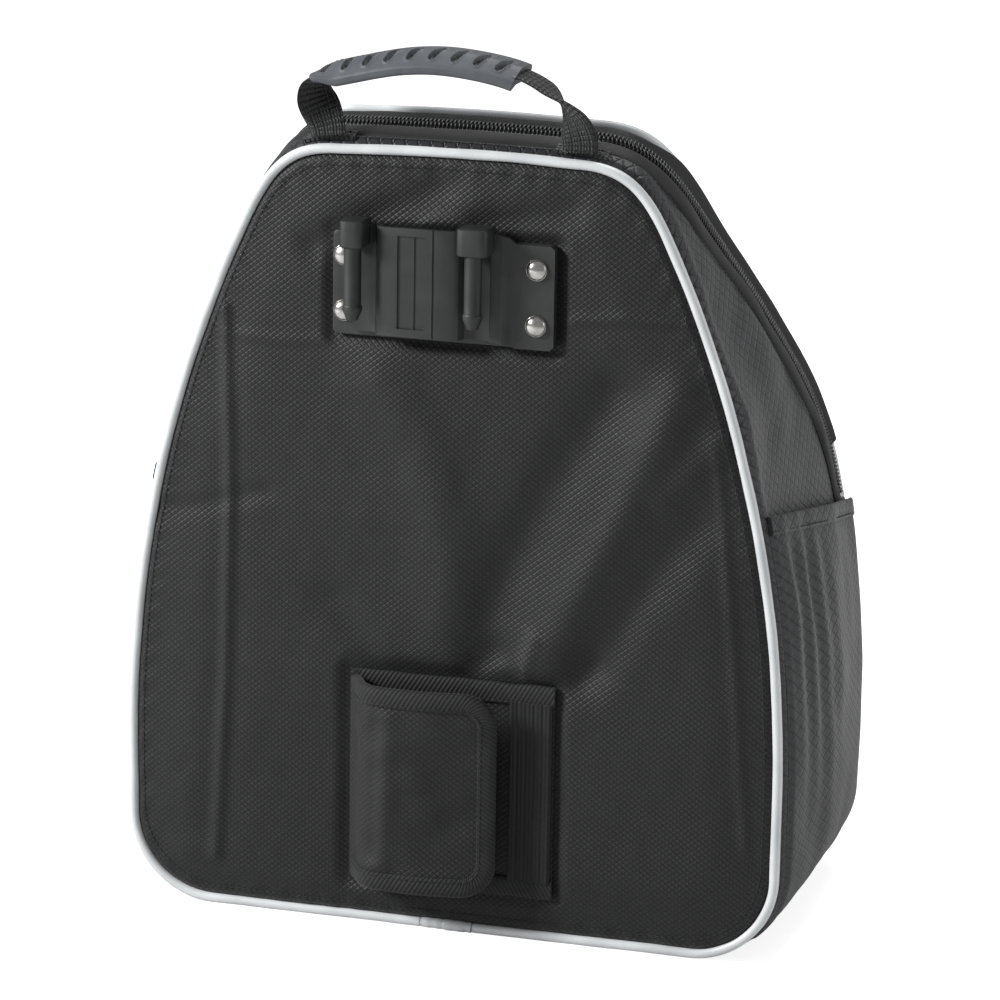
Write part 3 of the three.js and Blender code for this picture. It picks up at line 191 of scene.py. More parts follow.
def crease(u: Array, v: Array, line: Sequence[tuple[float, float]], width: float) -> Array:
    """A rounded ridge along a line: exp(-(distance / width)²), with the distance to the nearest stretch of it.

    Args:
        u: First flat coordinate.
        v: Second flat coordinate.
        line: The ridge's line.
        width: Where it has fallen to a third.

    Returns:
        Height from 0 to 1 at each place.
    """
    nearest = np.full(np.shape(u), np.inf)
    for (u0, v0), (u1, v1) in zip(line[:-1], line[1:]):
        run_u, run_v = u1 - u0, v1 - v0
        t = np.clip(((u - u0) * run_u + (v - v0) * run_v) / (run_u**2 + run_v**2), 0, 1)
        nearest = np.minimum(nearest, np.hypot(u - u0 - t * run_u, v - v0 - t * run_v))
    return np.exp(-((nearest / width) ** 2))


def outside(u: Array, v: Array, box: tuple[float, float, float, float]) -> Array:
    """How far each place lies outside a rectangle (u low, u high, v low, v high); zero inside it.

    Args:
        u: First flat coordinate.
        v: Second flat coordinate.
        box: Low and high u, then low and high v.

    Returns:
        The distance at each place.
    """
    over_u = np.maximum(np.maximum(box[0] - u, u - box[1]), 0)
    over_v = np.maximum(np.maximum(box[2] - v, v - box[3]), 0)
    return np.hypot(over_u, over_v)


def polar(border: Array, centre: tuple[float, float], shares: Array) -> Array:
    """Rings between a border and a point: border · (1 - share) + centre · share.

    Args:
        border: The outline, two columns.
        centre: Where the rings close.
        shares: 0 at the border and 1 at the centre.

    Returns:
        Ring, place round it, and the two coordinates.
    """
    middle = np.array(centre, float)
    return border[None] * (1 - shares[:, None, None]) + middle * shares[:, None, None]


def edge_distance(border: Array, centre: tuple[float, float], shares: Array) -> Array:
    """How far in from the border each point of polar() lies, measured square to the border there.

    Args:
        border: The outline, two columns.
        centre: Where the rings close.
        shares: 0 at the border and 1 at the centre.

    Returns:
        Distance in mm, ring by ring.
    """
    ahead = np.roll(border, -1, axis=0) - np.roll(border, 1, axis=0)
    normal = unit(np.stack([ahead[:, 1], -ahead[:, 0]], axis=-1))
    reach = np.abs(((border - np.array(centre)) * normal).sum(-1))
    return shares[:, None] * reach[None]


def ring_shares(rings: int) -> Array:
    """Shares for polar(), packed closer near the border: t^1.45."""
    return np.linspace(0.0, 1.0, rings) ** 1.45


# ------------------------------------------------------------------ meshes


def lengths(points: Array, close_rows: bool = False, close_columns: bool = False) -> Array:
    """Flat place of each grid point: mean distance travelled down the rows and along the columns.

    Args:
        points: Row, column, xyz.
        close_rows: The last row joins the first.
        close_columns: The last column joins the first.

    Returns:
        Row, column, and the two flat coordinates, with one more row or column where the grid closes.
    """
    pts = np.concatenate([points, points[:1]], axis=0) if close_rows else points
    pts = np.concatenate([pts, pts[:, :1]], axis=1) if close_columns else pts
    down = np.linalg.norm(np.diff(pts, axis=0), axis=-1).mean(axis=1)
    over = np.linalg.norm(np.diff(pts, axis=1), axis=-1).mean(axis=0)
    u = np.concatenate([[0.0], np.cumsum(down)])
    v = np.concatenate([[0.0], np.cumsum(over)])
    return np.stack(np.meshgrid(u, v, indexing="ij"), axis=-1)


class Sketch:
    """A mesh being drawn from grids of points, in mm, with a flat place in mm for each."""

    def __init__(self, name: str) -> None:
        """Starts an empty sketch for the piece of that name."""
        self.name = name
        self.points: list[Array] = []
        self.quads: list[Array] = []
        self.flats: list[Array] = []
        self.finish: list[Array] = []
        self.count = 0

    def sheet(
        self,
        points: Array,
        flat: Array | None = None,
        close_rows: bool = False,
        close_columns: bool = False,
        finish: int = 0,
    ) -> None:
        """Adds one grid, or many alike where points has a leading axis.

        Args:
            points: Row, column, xyz, with the shapes' axis first where there are many.
            flat: Place of each point on the flat cloth; worked out from lengths when left out.
            close_rows: The last row joins the first.
            close_columns: The last column joins the first.
            finish: Which of the piece's materials it has.
        """
        many = points if points.ndim == 4 else points[None]
        shapes, rows, columns = many.shape[:3]
        if flat is None:
            flat = lengths(many[0], close_rows, close_columns)
        i, j = np.meshgrid(
            np.arange(rows - (not close_rows)), np.arange(columns - (not close_columns)), indexing="ij"
        )
        corners = [(i, j), (i + 1, j), (i + 1, j + 1), (i, j + 1)]
        quads = np.stack([(a % rows) * columns + b % columns for a, b in corners], axis=-1).reshape(-1, 4)
        places = np.stack([flat[a, b] for a, b in corners], axis=-2).reshape(-1, 4, 2)
        offsets = self.count + np.arange(shapes)[:, None, None] * rows * columns
        self.points.append(many.reshape(-1, 3))
        self.quads.append((quads[None] + offsets).reshape(-1, 4))
        self.flats.append(np.broadcast_to(places, (shapes, *places.shape)).reshape(-1, 4, 2))
        self.finish.append(np.full(shapes * len(quads), finish))
        self.count += shapes * rows * columns

    def slab(
        self,
        outer: Array,
        inner: Array,
        flat: Array | None = None,
        close_columns: bool = False,
        pole: bool = False,
        inner_finish: int = 0,
    ) -> None:
        """Adds a closed shell from an outer and an inner grid, joined round their edges.

        Args:
            outer: Row, column, xyz of the face.
            inner: The same for the back.
            flat: Place of each point on the flat cloth.
            close_columns: The grids are closed round, as for a disc or a ring.
            pole: The last row has shrunk to a point, so it has no edge.
            inner_finish: Which of the piece's materials the back has.
        """
        places = lengths(outer, False, close_columns) if flat is None else flat
        self.sheet(outer, places, False, close_columns)
        self.sheet(inner, places, False, close_columns, inner_finish)
        for row in (0,) if pole else (0, -1):
            self.sheet(np.stack([outer[row], inner[row]]), places[[row, row]], False, close_columns)
        if not close_columns:
            for column in (0, -1):
                edge = np.stack([outer[:, column], inner[:, column]])
                self.sheet(edge, np.stack([places[:, column], places[:, column]]))

    def roll(self, rings: Array, places: Array | None = None, middles: Array | None = None) -> None:
        """Adds a tube whose two ends are drawn in to a point.

        Args:
            rings: Rings of points along the tube, with the shapes' axis first where there are many.
            places: Place of each point on the flat cloth, with one more column than the rings.
            middles: Points whose first and last close the ends; each end ring's mean when left out.
        """
        ends = [rings[..., k, :, :].mean(axis=-2) if middles is None else middles[..., k, :] for k in (0, -1)]
        shape = (*rings.shape[:-3], 1, *rings.shape[-2:])
        first, last = (np.broadcast_to(end[..., None, None, :], shape) for end in ends)
        flat = None if places is None else np.concatenate([places[:1], places, places[-1:]])
        self.sheet(np.concatenate([first, rings, last], axis=-3), flat, close_columns=True)

    def build(self, finishes: Sequence[bpy.types.Material], sharp: float = 40.0) -> bpy.types.Object:
        """Makes the object: points welded, faces turned outwards, edges over an angle kept sharp.

        Args:
            finishes: The piece's materials.
            sharp: Angle in degrees over which an edge stays sharp.

        Returns:
            The new object, at the origin.
        """
        mesh = bpy.data.meshes.new(self.name)
        points = np.concatenate(self.points) * MM
        quads = np.concatenate(self.quads)
        mesh.from_pydata(points.tolist(), [], quads.tolist())
        layer = mesh.uv_layers.new(name="Cloth")
        layer.data.foreach_set("uv", (np.concatenate(self.flats) * MM).astype(np.float32).ravel())
        mesh.polygons.foreach_set("material_index", np.concatenate(self.finish).astype(np.int32))
        work = bmesh.new()
        work.from_mesh(mesh)
        bmesh.ops.remove_doubles(work, verts=work.verts, dist=2e-6)
        bmesh.ops.dissolve_degenerate(work, edges=work.edges, dist=1e-7)
        bmesh.ops.recalc_face_normals(work, faces=work.faces)
        work.to_mesh(mesh)
        work.free()
        mesh.polygons.foreach_set("use_smooth", np.ones(len(mesh.polygons), bool))
        mesh.set_sharp_from_angle(angle=np.radians(sharp))
        for finish in finishes:
            mesh.materials.append(finish)
        mesh.update()
        made = bpy.data.objects.new(self.name, mesh)
        bpy.context.scene.collection.objects.link(made)
        return made


def tube_rings(path: Array, first: Array, second: Array, radius: Array, sides: int) -> Array:
    """Rings carried along a path: path + radius · (cos a · first + sin a · second).

    Args:
        path: Points of the middle, with any leading axes.
        first: Direction at angle zero, for each point.
        second: Direction at a right angle to it.
        radius: Radius at each point.
        sides: Points round each ring.

    Returns:
        The path's axes, then the place round the ring and xyz.
    """
    angle = np.linspace(0, 2 * np.pi, sides, endpoint=False)
    spread = first[..., None, :] * np.cos(angle)[:, None] + second[..., None, :] * np.sin(angle)[:, None]
    return path[..., None, :] + spread * np.asarray(radius)[..., None, None]


def stitches(
    sketch: Sketch, path: Array, normals: Array, pitch: float = 3.4, thread: float = 0.32, finish: int = 0
) -> None:
    """Adds a row of lockstitches: each a short thread that rises out of the cloth and goes back in.

    Args:
        sketch: Where they are added.
        path: The seam's line on the cloth's face.
        normals: Direction out of the cloth along it.
        pitch: From one stitch to the next.
        thread: Radius of the thread.
        finish: Which of the piece's materials the thread has.
    """
    travelled = along_path(path)
    middles = np.arange(pitch, travelled[-1] - pitch / 2, pitch)
    centre = at_distance(path, middles)
    out = unit(np.stack([np.interp(middles, travelled, column) for column in normals.T], axis=-1))
    ahead = unit(at_distance(path, middles + 0.5) - at_distance(path, middles - 0.5))
    side = np.cross(ahead, out)
    t = np.array([-0.5, -0.4, 0.0, 0.4, 0.5])
    rise = np.array([-1.2, 0.1, 0.5, 0.1, -1.2]) * thread
    line = centre[:, None] + ahead[:, None] * (t * pitch * 0.8)[:, None] + out[:, None] * rise[:, None]
    radius = np.broadcast_to(thread * np.array([0.0, 0.9, 1.0, 0.9, 0.0]), line.shape[:2])
    first = np.broadcast_to(side[:, None], line.shape)
    second = np.broadcast_to(out[:, None], line.shape)
    sketch.sheet(tube_rings(line, first, second, radius, 5), close_columns=True, finish=finish)


def lathe(profile: Array, place: Array, sides: int = 40) -> Array:
    """A profile of radius and height turned round the Y axis through a place.

    Args:
        profile: Radius and distance along Y, one row a point.
        place: Where the axis starts.
        sides: Points round it.

    Returns:
        Grid of points.
    """
    angle = np.linspace(0, 2 * np.pi, sides, endpoint=False)
    radius, reach = profile[:, :1], profile[:, 1:]
    turned = np.stack(
        np.broadcast_arrays(radius * np.cos(angle), reach, radius * np.sin(angle)), axis=-1
    )
    return turned + place


def copied(node: str, name: str, bevel: float, finish: bpy.types.Material, segments: int = 2) -> bpy.types.Object:
    """A welded copy of a rigid frame piece with its edges rounded.

    Args:
        node: The frame node to copy.
        name: Name of the new piece.
        bevel: Width of the rounding in mm.
        finish: Its material.
        segments: Facets of the rounding.

    Returns:
        The new object, at the origin.
    """
    mesh = bpy.data.objects[node].data.copy()
    mesh.materials.clear()
    mesh.materials.append(finish)
    for attribute in [a.name for a in mesh.attributes if a.name == "custom_normal"]:
        mesh.attributes.remove(mesh.attributes[attribute])
    work = bmesh.new()
    work.from_mesh(mesh)
    bmesh.ops.remove_doubles(work, verts=work.verts, dist=1e-5)
    bmesh.ops.recalc_face_normals(work, faces=work.faces)
    bmesh.ops.dissolve_limit(work, angle_limit=np.radians(1.0), verts=work.verts, edges=work.edges)
    work.to_mesh(mesh)
    work.free()
    mesh.polygons.foreach_set("use_smooth", np.ones(len(mesh.polygons), bool))
    mesh.polygons.foreach_set("material_index", np.zeros(len(mesh.polygons), np.int32))
    made = bpy.data.objects.new(name, mesh)
    bpy.context.scene.collection.objects.link(made)
    rounding = made.modifiers.new("Rounded edges", "BEVEL")
    rounding.width = bevel * MM
    rounding.segments = segments
    rounding.limit_method = "ANGLE"
    rounding.angle_limit = np.radians(35)
    rounding.use_clamp_overlap = True
    rounding.harden_normals = False
    mesh.set_sharp_from_angle(angle=np.radians(60))
    return made


# ------------------------------------------------------------------ the body's form


@dataclass(frozen=True)
class Outline:
    """Front outline of the bag: flat base, round bottom corners, leaning sides and a low crown."""

    half_width: float = 173.0
    height: float = 404.0
    corner: float = 46.0
    shoulder_inset: float = 63.0
    shoulder_drop: float = 36.5
    shoulder_lean: float = 25.8
    flank_handles: tuple[float, float] = (43.0, 166.0)
    crown_inset: float = 113.0
    crown_dip: float = 1.5
    crown_handles: tuple[float, float] = (32.6, 21.0)
    samples: int = 3600

    @cached_property
    def table(self) -> Array:
        """Distance, x, z and the outward direction, from the middle of the base up the right side.

        The line is a straight base, a quarter circle, two cubic Bezier curves for the side and the
        shoulder, and a quadratic one over the crown, resampled at equal distances.

        Returns:
            One row a station.
        """
        lean = np.radians(self.shoulder_lean)
        way = np.array([-np.sin(lean), np.cos(lean)])
        shoulder = np.array([self.half_width - self.shoulder_inset, self.height - self.shoulder_drop])
        flat = np.array([self.half_width - self.crown_inset, self.height - self.crown_dip])
        turn = np.linspace(-np.pi / 2, 0, 200)
        base = self.half_width - self.corner
        arc = np.stack([base + self.corner * np.cos(turn), self.corner + self.corner * np.sin(turn)], axis=-1)
        low = (self.half_width, self.corner + self.flank_handles[0])
        side = bezier(
            [(self.half_width, self.corner), low, tuple(shoulder - self.flank_handles[1] * way), tuple(shoulder)]
        )
        bend = shoulder + self.crown_handles[0] * way
        over = bezier([tuple(shoulder), tuple(bend), (flat[0] + self.crown_handles[1], flat[1]), tuple(flat)])
        crown = bezier([tuple(flat), (flat[0] / 2, self.height), (0.0, self.height)])
        whole = np.concatenate([[(0.0, 0.0)], arc, side[1:], over[1:], crown[1:]])
        distance = np.linspace(0, along_path(whole)[-1], self.samples)
        place = at_distance(whole, distance)
        heading = unit(np.gradient(place, axis=0))
        return np.column_stack([distance, place, heading[:, 1], -heading[:, 0]])

    @property
    def half_length(self) -> float:
        """Length of the right half of the outline."""
        return float(self.table[-1, 0])

    def fold(self, distance: Array) -> tuple[Array, Array]:
        """Side (1 right, -1 left) and distance from the base for distances that run on past the crown or below zero.

        Args:
            distance: Distances along the outline.

        Returns:
            The side and the distance, for each place.
        """
        d = np.asarray(distance, float)
        left = (d < 0) | (d > self.half_length)
        return np.where(left, -1.0, 1.0), np.where(
            d < 0, -d, np.where(d > self.half_length, 2 * self.half_length - d, d)
        )

    def at(self, distance: Array) -> tuple[Array, Array, Array, Array]:
        """x, z and the outward direction's x and z at distances along the outline.

        Args:
            distance: Distances along the outline.

        Returns:
            Four arrays, one value for each distance.
        """
        side, s = self.fold(distance)
        x, z, nx, nz = (np.interp(s, self.table[:, 0], column) for column in self.table[:, 1:].T)
        return side * x, z, side * nx, nz

    def at_height(self, z: Array | float) -> Array:
        """Distance along the right half where the outline reaches a height."""
        return np.interp(z, self.table[:, 2], self.table[:, 0])

    def over_x(self, x: float) -> float:
        """Distance along the outline where its upper part passes over x.

        Args:
            x: Place across.

        Returns:
            The distance along the outline.
        """
        upper = self.table[self.table[:, 0] > self.half_length * 0.6][::-1]
        s = float(np.interp(abs(x), upper[:, 1], upper[:, 0]))
        return 2 * self.half_length - s if x < 0 else s


@dataclass(frozen=True)
class Body:
    """The bag's skin: the outline in front and a side profile that is upright, then bends and slopes forward."""

    outline: Outline = field(default_factory=Outline)
    front: float = -80.0
    depth: float = 180.0
    top_depth: float = 38.0
    top_rise: float = 15.0
    rise_run: float = 64.0
    bend_z: float = 197.0
    bend_radius: float = 132.0
    hinge_z: float = 232.0
    zip_end_z: float = 204.0

    @property
    def rear(self) -> float:
        """Y of the upright back."""
        return self.front + self.depth

    @cached_property
    def slope(self) -> float:
        """Lean of the straight upper back, as the tangent from its top to the circle of the bend.

        Returns:
            The angle in radians.
        """
        run = self.front + self.top_depth - (self.rear - self.bend_radius)
        rise = self.outline.height + self.top_rise - self.bend_z
        return float(np.arctan2(rise, run) - np.arccos(self.bend_radius / np.hypot(run, rise)))

    def rear_at(self, z: Array) -> Array:
        """Y of the back at a height: upright, then round the bend, then straight along the slope.

        Args:
            z: Place up.

        Returns:
            Y at each height.
        """
        middle = self.rear - self.bend_radius
        top = self.bend_z + self.bend_radius * np.sin(self.slope)
        bend = middle + np.sqrt(np.maximum(self.bend_radius**2 - np.maximum(z - self.bend_z, 0) ** 2, 0))
        straight = middle + self.bend_radius * np.cos(self.slope) - (z - top) * np.tan(self.slope)
        return np.where(z <= top, bend, straight)

    def rise_at(self, z: Array) -> Array:
        """How much higher the rear of the crown stands than its front, faded in over the top of the bag."""
        return self.top_rise * smooth((z - self.outline.height + self.rise_run) / self.rise_run)

    def rear_edge(self, distance: Array) -> Array:
        """Y of the rear edge at a distance along the outline."""
        z = self.outline.at(distance)[1]
        return self.rear_at(z + self.rise_at(z))

    def shell(self, distance: Array, y: Array, out: Array) -> Array:
        """Points over the skin at a distance along the outline, a depth and a height above the cloth.

        Args:
            distance: Distances along the outline.
            y: Depth.
            out: Height above the cloth.

        Returns:
            The points.
        """
        x, z, nx, nz = self.outline.at(distance)
        rise = self.rise_at(z)
        back = np.clip((y - self.front) / (self.rear_at(z + rise) - self.front), 0, 1)
        return np.stack(np.broadcast_arrays(x + out * nx, y, z + out * nz + rise * back), axis=-1)

    def in_from_rear(self, distance: Array, across: Array) -> tuple[Array, Array]:
        """Distance and depth of places measured square to the rear edge.

        Args:
            distance: Where on the rear edge, along the outline.
            across: How far in from it.

        Returns:
            Distance along the outline, and Y.
        """
        side, s = self.outline.fold(distance)
        step = 0.5
        ahead = self.rear_edge(np.minimum(s + step, self.outline.half_length))
        slope = (ahead - self.rear_edge(s - step)) / (2 * step)
        run = np.hypot(1, slope)
        return side * (s + across * slope / run), self.rear_edge(s) - across / run

    def zip_point(self, distance: Array, across: Array, out: Array) -> Array:
        """Points over the zip band: along the rear edge, in from it, and out of the cloth."""
        place, y = self.in_from_rear(distance, across)
        return self.shell(place, y, out)

    def back_point(self, x: Array, z: Array, out: Array) -> Array:
        """Points over the back panel: straight up at first, then leaning with the bend's own angle.

        Args:
            x: Place across.
            z: Place up.
            out: Height above the cloth.

        Returns:
            The points.
        """
        lean = np.clip(np.arcsin(np.clip((z - self.bend_z) / self.bend_radius, 0, 1)), 0, self.slope)
        y = self.rear_at(z) + out * np.cos(lean)
        return np.stack(np.broadcast_arrays(x, y, z + out * np.sin(lean)), axis=-1)

    def back_outline(self, distance: Array, inset: float) -> Array:
        """X and Z of the rear outline, moved in from the edge."""
        x, z, nx, nz = self.outline.at(distance)
        return np.stack([x - inset * nx, z + self.rise_at(z) - inset * nz], axis=-1)

    @property
    def far(self) -> float:
        """Length of the whole outline."""
        return 2 * self.outline.half_length

    @property
    def fold_at(self) -> float:
        """Distance along the outline at the lid's fold."""
        return float(self.outline.at_height(self.hinge_z))

    @property
    def end_at(self) -> float:
        """Distance along the outline at the ends of the zip."""
        return float(self.outline.at_height(self.zip_end_z))


# ------------------------------------------------------------------ finishes


def colour(code: str) -> tuple[float, float, float, float]:
    """An sRGB hex code as the linear colour that a shader takes.

    Args:
        code: The hex code with its leading #.

    Returns:
        Red, green, blue and alpha.
    """
    parts = np.array([int(code[i : i + 2], 16) for i in (1, 3, 5)]) / 255
    linear = np.where(parts <= 0.04045, parts / 12.92, ((parts + 0.055) / 1.055) ** 2.4)
    return (*linear.tolist(), 1.0)


@dataclass
class Shader:
    """A material being wired."""

    name: str

    def __post_init__(self) -> None:
        """Makes the material with a single Principled shader."""
        self.material = bpy.data.materials.new(self.name)
        self.material.use_nodes = True
        self.tree = self.material.node_tree
        self.tree.nodes.clear()
        self.surface = self.node("ShaderNodeBsdfPrincipled")
        self.node("ShaderNodeOutputMaterial", {"Surface": self.surface.outputs[0]})
        self.material.diffuse_color = (0.1, 0.1, 0.1, 1)

    def node(self, kind: str, inputs: dict[str | int, object] | None = None, **settings: object) -> bpy.types.Node:
        """Adds a node.

        Args:
            kind: Its Blender type.
            inputs: Value or linked output for each input, by name or number.
            settings: Its properties.

        Returns:
            The node.
        """
        made = self.tree.nodes.new(kind)
        for key, value in settings.items():
            setattr(made, key, value)
        for key, value in (inputs or {}).items():
            if isinstance(value, bpy.types.NodeSocket):
                self.tree.links.new(value, made.inputs[key])
            else:
                made.inputs[key].default_value = value
        return made

    def maths(self, operation: str, *values: object) -> bpy.types.NodeSocket:
        """The result of one sum, whose terms are numbers or outputs."""
        return self.node("ShaderNodeMath", dict(enumerate(values)), operation=operation).outputs[0]

    def blend(self, share: object, low: object, high: object) -> bpy.types.NodeSocket:
        """A colour between two, by a share."""
        return self.node("ShaderNodeMix", {0: share, 6: low, 7: high}, data_type="RGBA").outputs[2]

    def spread(
        self, value: object, low: float, high: float, to_low: float = 0.0, to_high: float = 1.0
    ) -> bpy.types.NodeSocket:
        """A value moved from one range to another and held there."""
        inputs = {0: value, 1: low, 2: high, 3: to_low, 4: to_high}
        return self.node("ShaderNodeMapRange", inputs, clamp=True).outputs[0]

    def flat(
        self, width: float, height: float, turn: float = 0.0
    ) -> tuple[bpy.types.NodeSocket, bpy.types.NodeSocket]:
        """Place on the flat cloth, counted in cells.

        Args:
            width: Cell size along the first flat direction in mm.
            height: Cell size along the second.
            turn: Degrees the pattern is turned by.

        Returns:
            The two counts.
        """
        where = self.node("ShaderNodeUVMap", uv_map="Cloth")
        turned = self.node("ShaderNodeMapping", {"Vector": where.outputs[0], "Rotation": (0, 0, np.radians(turn))})
        scaled = self.node(
            "ShaderNodeMapping", {"Vector": turned.outputs[0], "Scale": (1 / (width * MM), 1 / (height * MM), 1)}
        )
        parts = self.node("ShaderNodeSeparateXYZ", {0: scaled.outputs[0]})
        return parts.outputs[0], parts.outputs[1]

    def grain(self, size: float, detail: float = 2.0, roughness: float = 0.5) -> bpy.types.NodeSocket:
        """Random unevenness over the piece with grains of a size in mm.

        Args:
            size: Size of the grains in mm.
            detail: How many finer layers are added.
            roughness: How strong the finer layers are.

        Returns:
            The noise, about 0.5 on average.
        """
        where = self.node("ShaderNodeTexCoord")
        inputs = {
            "Vector": where.outputs["Object"], "Scale": 1 / (size * MM), "Detail": detail, "Roughness": roughness
        }
        return self.node("ShaderNodeTexNoise", inputs).outputs[0]

    def finish(
        self,
        base: object,
        roughness: object,
        height: bpy.types.NodeSocket | None = None,
        relief: float = 0.1,
        **fixed: float,
    ) -> bpy.types.Material:
        """Sets the shader.

        Args:
            base: Base colour, fixed or linked.
            roughness: Roughness, fixed or linked.
            height: Relief from 0 to 1.
            relief: How high 1 stands in mm.
            fixed: Other inputs that are the same all over, by their names with _ for a space.

        Returns:
            The material.
        """
        for key, value in {"Base Color": base, "Roughness": roughness}.items():
            if isinstance(value, bpy.types.NodeSocket):
                self.tree.links.new(value, self.surface.inputs[key])
            else:
                self.surface.inputs[key].default_value = value
        for key, value in fixed.items():
            self.surface.inputs[key.replace("_", " ")].default_value = value
        if height is not None:
            bump = self.node("ShaderNodeBump", {"Height": height, "Distance": relief * MM, "Strength": 1.0})
            self.tree.links.new(bump.outputs[0], self.surface.inputs["Normal"])
        return self.material


class Weave(Enum):
    """How a cloth is woven."""

    RIPSTOP = "ripstop"
    TWILL = "twill"
    RIBBED = "ribbed"
    BASKET = "basket"
    PLAIN = "plain"


@dataclass(frozen=True)
class Cloth:
    """A woven finish: ground colour, the colour of its lines or hollows, and the weave that gives its relief."""

    name: str
    weave: Weave
    ground: str
    line: str
    cell: tuple[float, float]
    relief: float
    roughness: float = 0.72
    sheen: float = 0.0
    turn: float = 0.0
    line_width: float = 0.13
    uneven: float = 0.16

    def lines(self, shader: Shader) -> bpy.types.NodeSocket:
        """Height from 0 in the weave's lines or hollows to 1 on its threads.

        Args:
            shader: The material being wired.

        Returns:
            The height.
        """
        u, v = shader.flat(*self.cell, self.turn)
        if self.weave is Weave.RIPSTOP:
            # Two sets of slanting lines that cross in long diamonds, u + v and u - v.
            first = shader.maths("PINGPONG", shader.maths("ADD", u, v), 0.5)
            second = shader.maths("PINGPONG", shader.maths("SUBTRACT", u, v), 0.5)
            return shader.spread(shader.maths("MINIMUM", first, second), 0.0, self.line_width)
        if self.weave is Weave.BASKET:
            # Threads pass over and under: sin u times sin v lifts every other cell.
            lift = shader.maths(
                "MULTIPLY", shader.maths(
                    "SINE", shader.maths("MULTIPLY", u, np.pi)
                ), shader.maths("SINE", shader.maths("MULTIPLY", v, np.pi))
            )
            return shader.spread(shader.maths("ABSOLUTE", lift), 0.0, 0.75)
        if self.weave is Weave.PLAIN:
            threads = shader.maths("MULTIPLY", shader.maths("PINGPONG", u, 0.5), shader.maths("PINGPONG", v, 0.5))
            return shader.spread(threads, 0.0, 0.2)
        rib = shader.maths("ABSOLUTE", shader.maths("SINE", shader.maths("MULTIPLY", u, np.pi)))
        picks = shader.maths("ABSOLUTE", shader.maths("SINE", shader.maths("MULTIPLY", v, np.pi)))
        return shader.maths("ADD", shader.maths("MULTIPLY", rib, 0.8), shader.maths("MULTIPLY", picks, 0.2))

    def material(self) -> bpy.types.Material:
        """Wires the cloth: lines darken it, broad unevenness shifts it, and threads roughen it.

        Returns:
            The material.
        """
        shader = Shader(self.name)
        lines = self.lines(shader)
        threads = shader.grain(0.9, 3.0, 0.7)
        broad = shader.grain(55.0, 2.0)
        ground = shader.blend(
            shader.spread(threads, 0.3, 0.75, 0.0, self.uneven * 2), colour(self.ground), colour(self.line)
        )
        worn = shader.blend(shader.spread(broad, 0.35, 0.7, 0.0, self.uneven), ground, colour(self.line))
        base = shader.blend(lines, colour(self.line), worn)
        height = shader.maths("ADD", shader.maths("MULTIPLY", lines, 0.75), shader.maths("MULTIPLY", threads, 0.25))
        rough = shader.spread(threads, 0.25, 0.75, self.roughness - 0.08, self.roughness + 0.08)
        return shader.finish(
            base, rough, height, self.relief, Sheen_Weight=self.sheen, Sheen_Roughness=0.45, Specular_IOR_Level=0.35
        )


@dataclass(frozen=True)
class Moulded:
    """A moulded finish: plastic, rubber or coated cord, with a fine grain and slight change of colour."""

    name: str
    ground: str
    shade: str
    grain: float
    relief: float
    roughness: float
    coat: float = 0.0

    def material(self) -> bpy.types.Material:
        """Wires the moulding: broad patches change its colour and gloss, and the grain gives its relief.

        Returns:
            The material.
        """
        shader = Shader(self.name)
        grain = shader.grain(self.grain, 2.0, 0.6)
        broad = shader.grain(self.grain * 30, 3.0)
        base = shader.blend(shader.spread(broad, 0.35, 0.7), colour(self.ground), colour(self.shade))
        rough = shader.spread(grain, 0.3, 0.7, self.roughness - 0.06, self.roughness + 0.08)
        return shader.finish(base, rough, grain, self.relief, Coat_Weight=self.coat, Coat_Roughness=0.3)


@dataclass(frozen=True)
class Plated:
    """A plated metal finish with faint smudges and fine scratches."""

    name: str
    ground: str
    shade: str
    roughness: float

    def material(self) -> bpy.types.Material:
        """Wires the metal: smudges change its roughness and its tint a little.

        Returns:
            The material.
        """
        shader = Shader(self.name)
        smudge = shader.grain(3.5, 4.0)
        scratch = shader.grain(0.35, 2.0)
        base = shader.blend(shader.spread(smudge, 0.35, 0.7), colour(self.ground), colour(self.shade))
        rough = shader.spread(smudge, 0.3, 0.7, self.roughness - 0.06, self.roughness + 0.14)
        return shader.finish(base, rough, scratch, 0.015, Metallic=1.0)


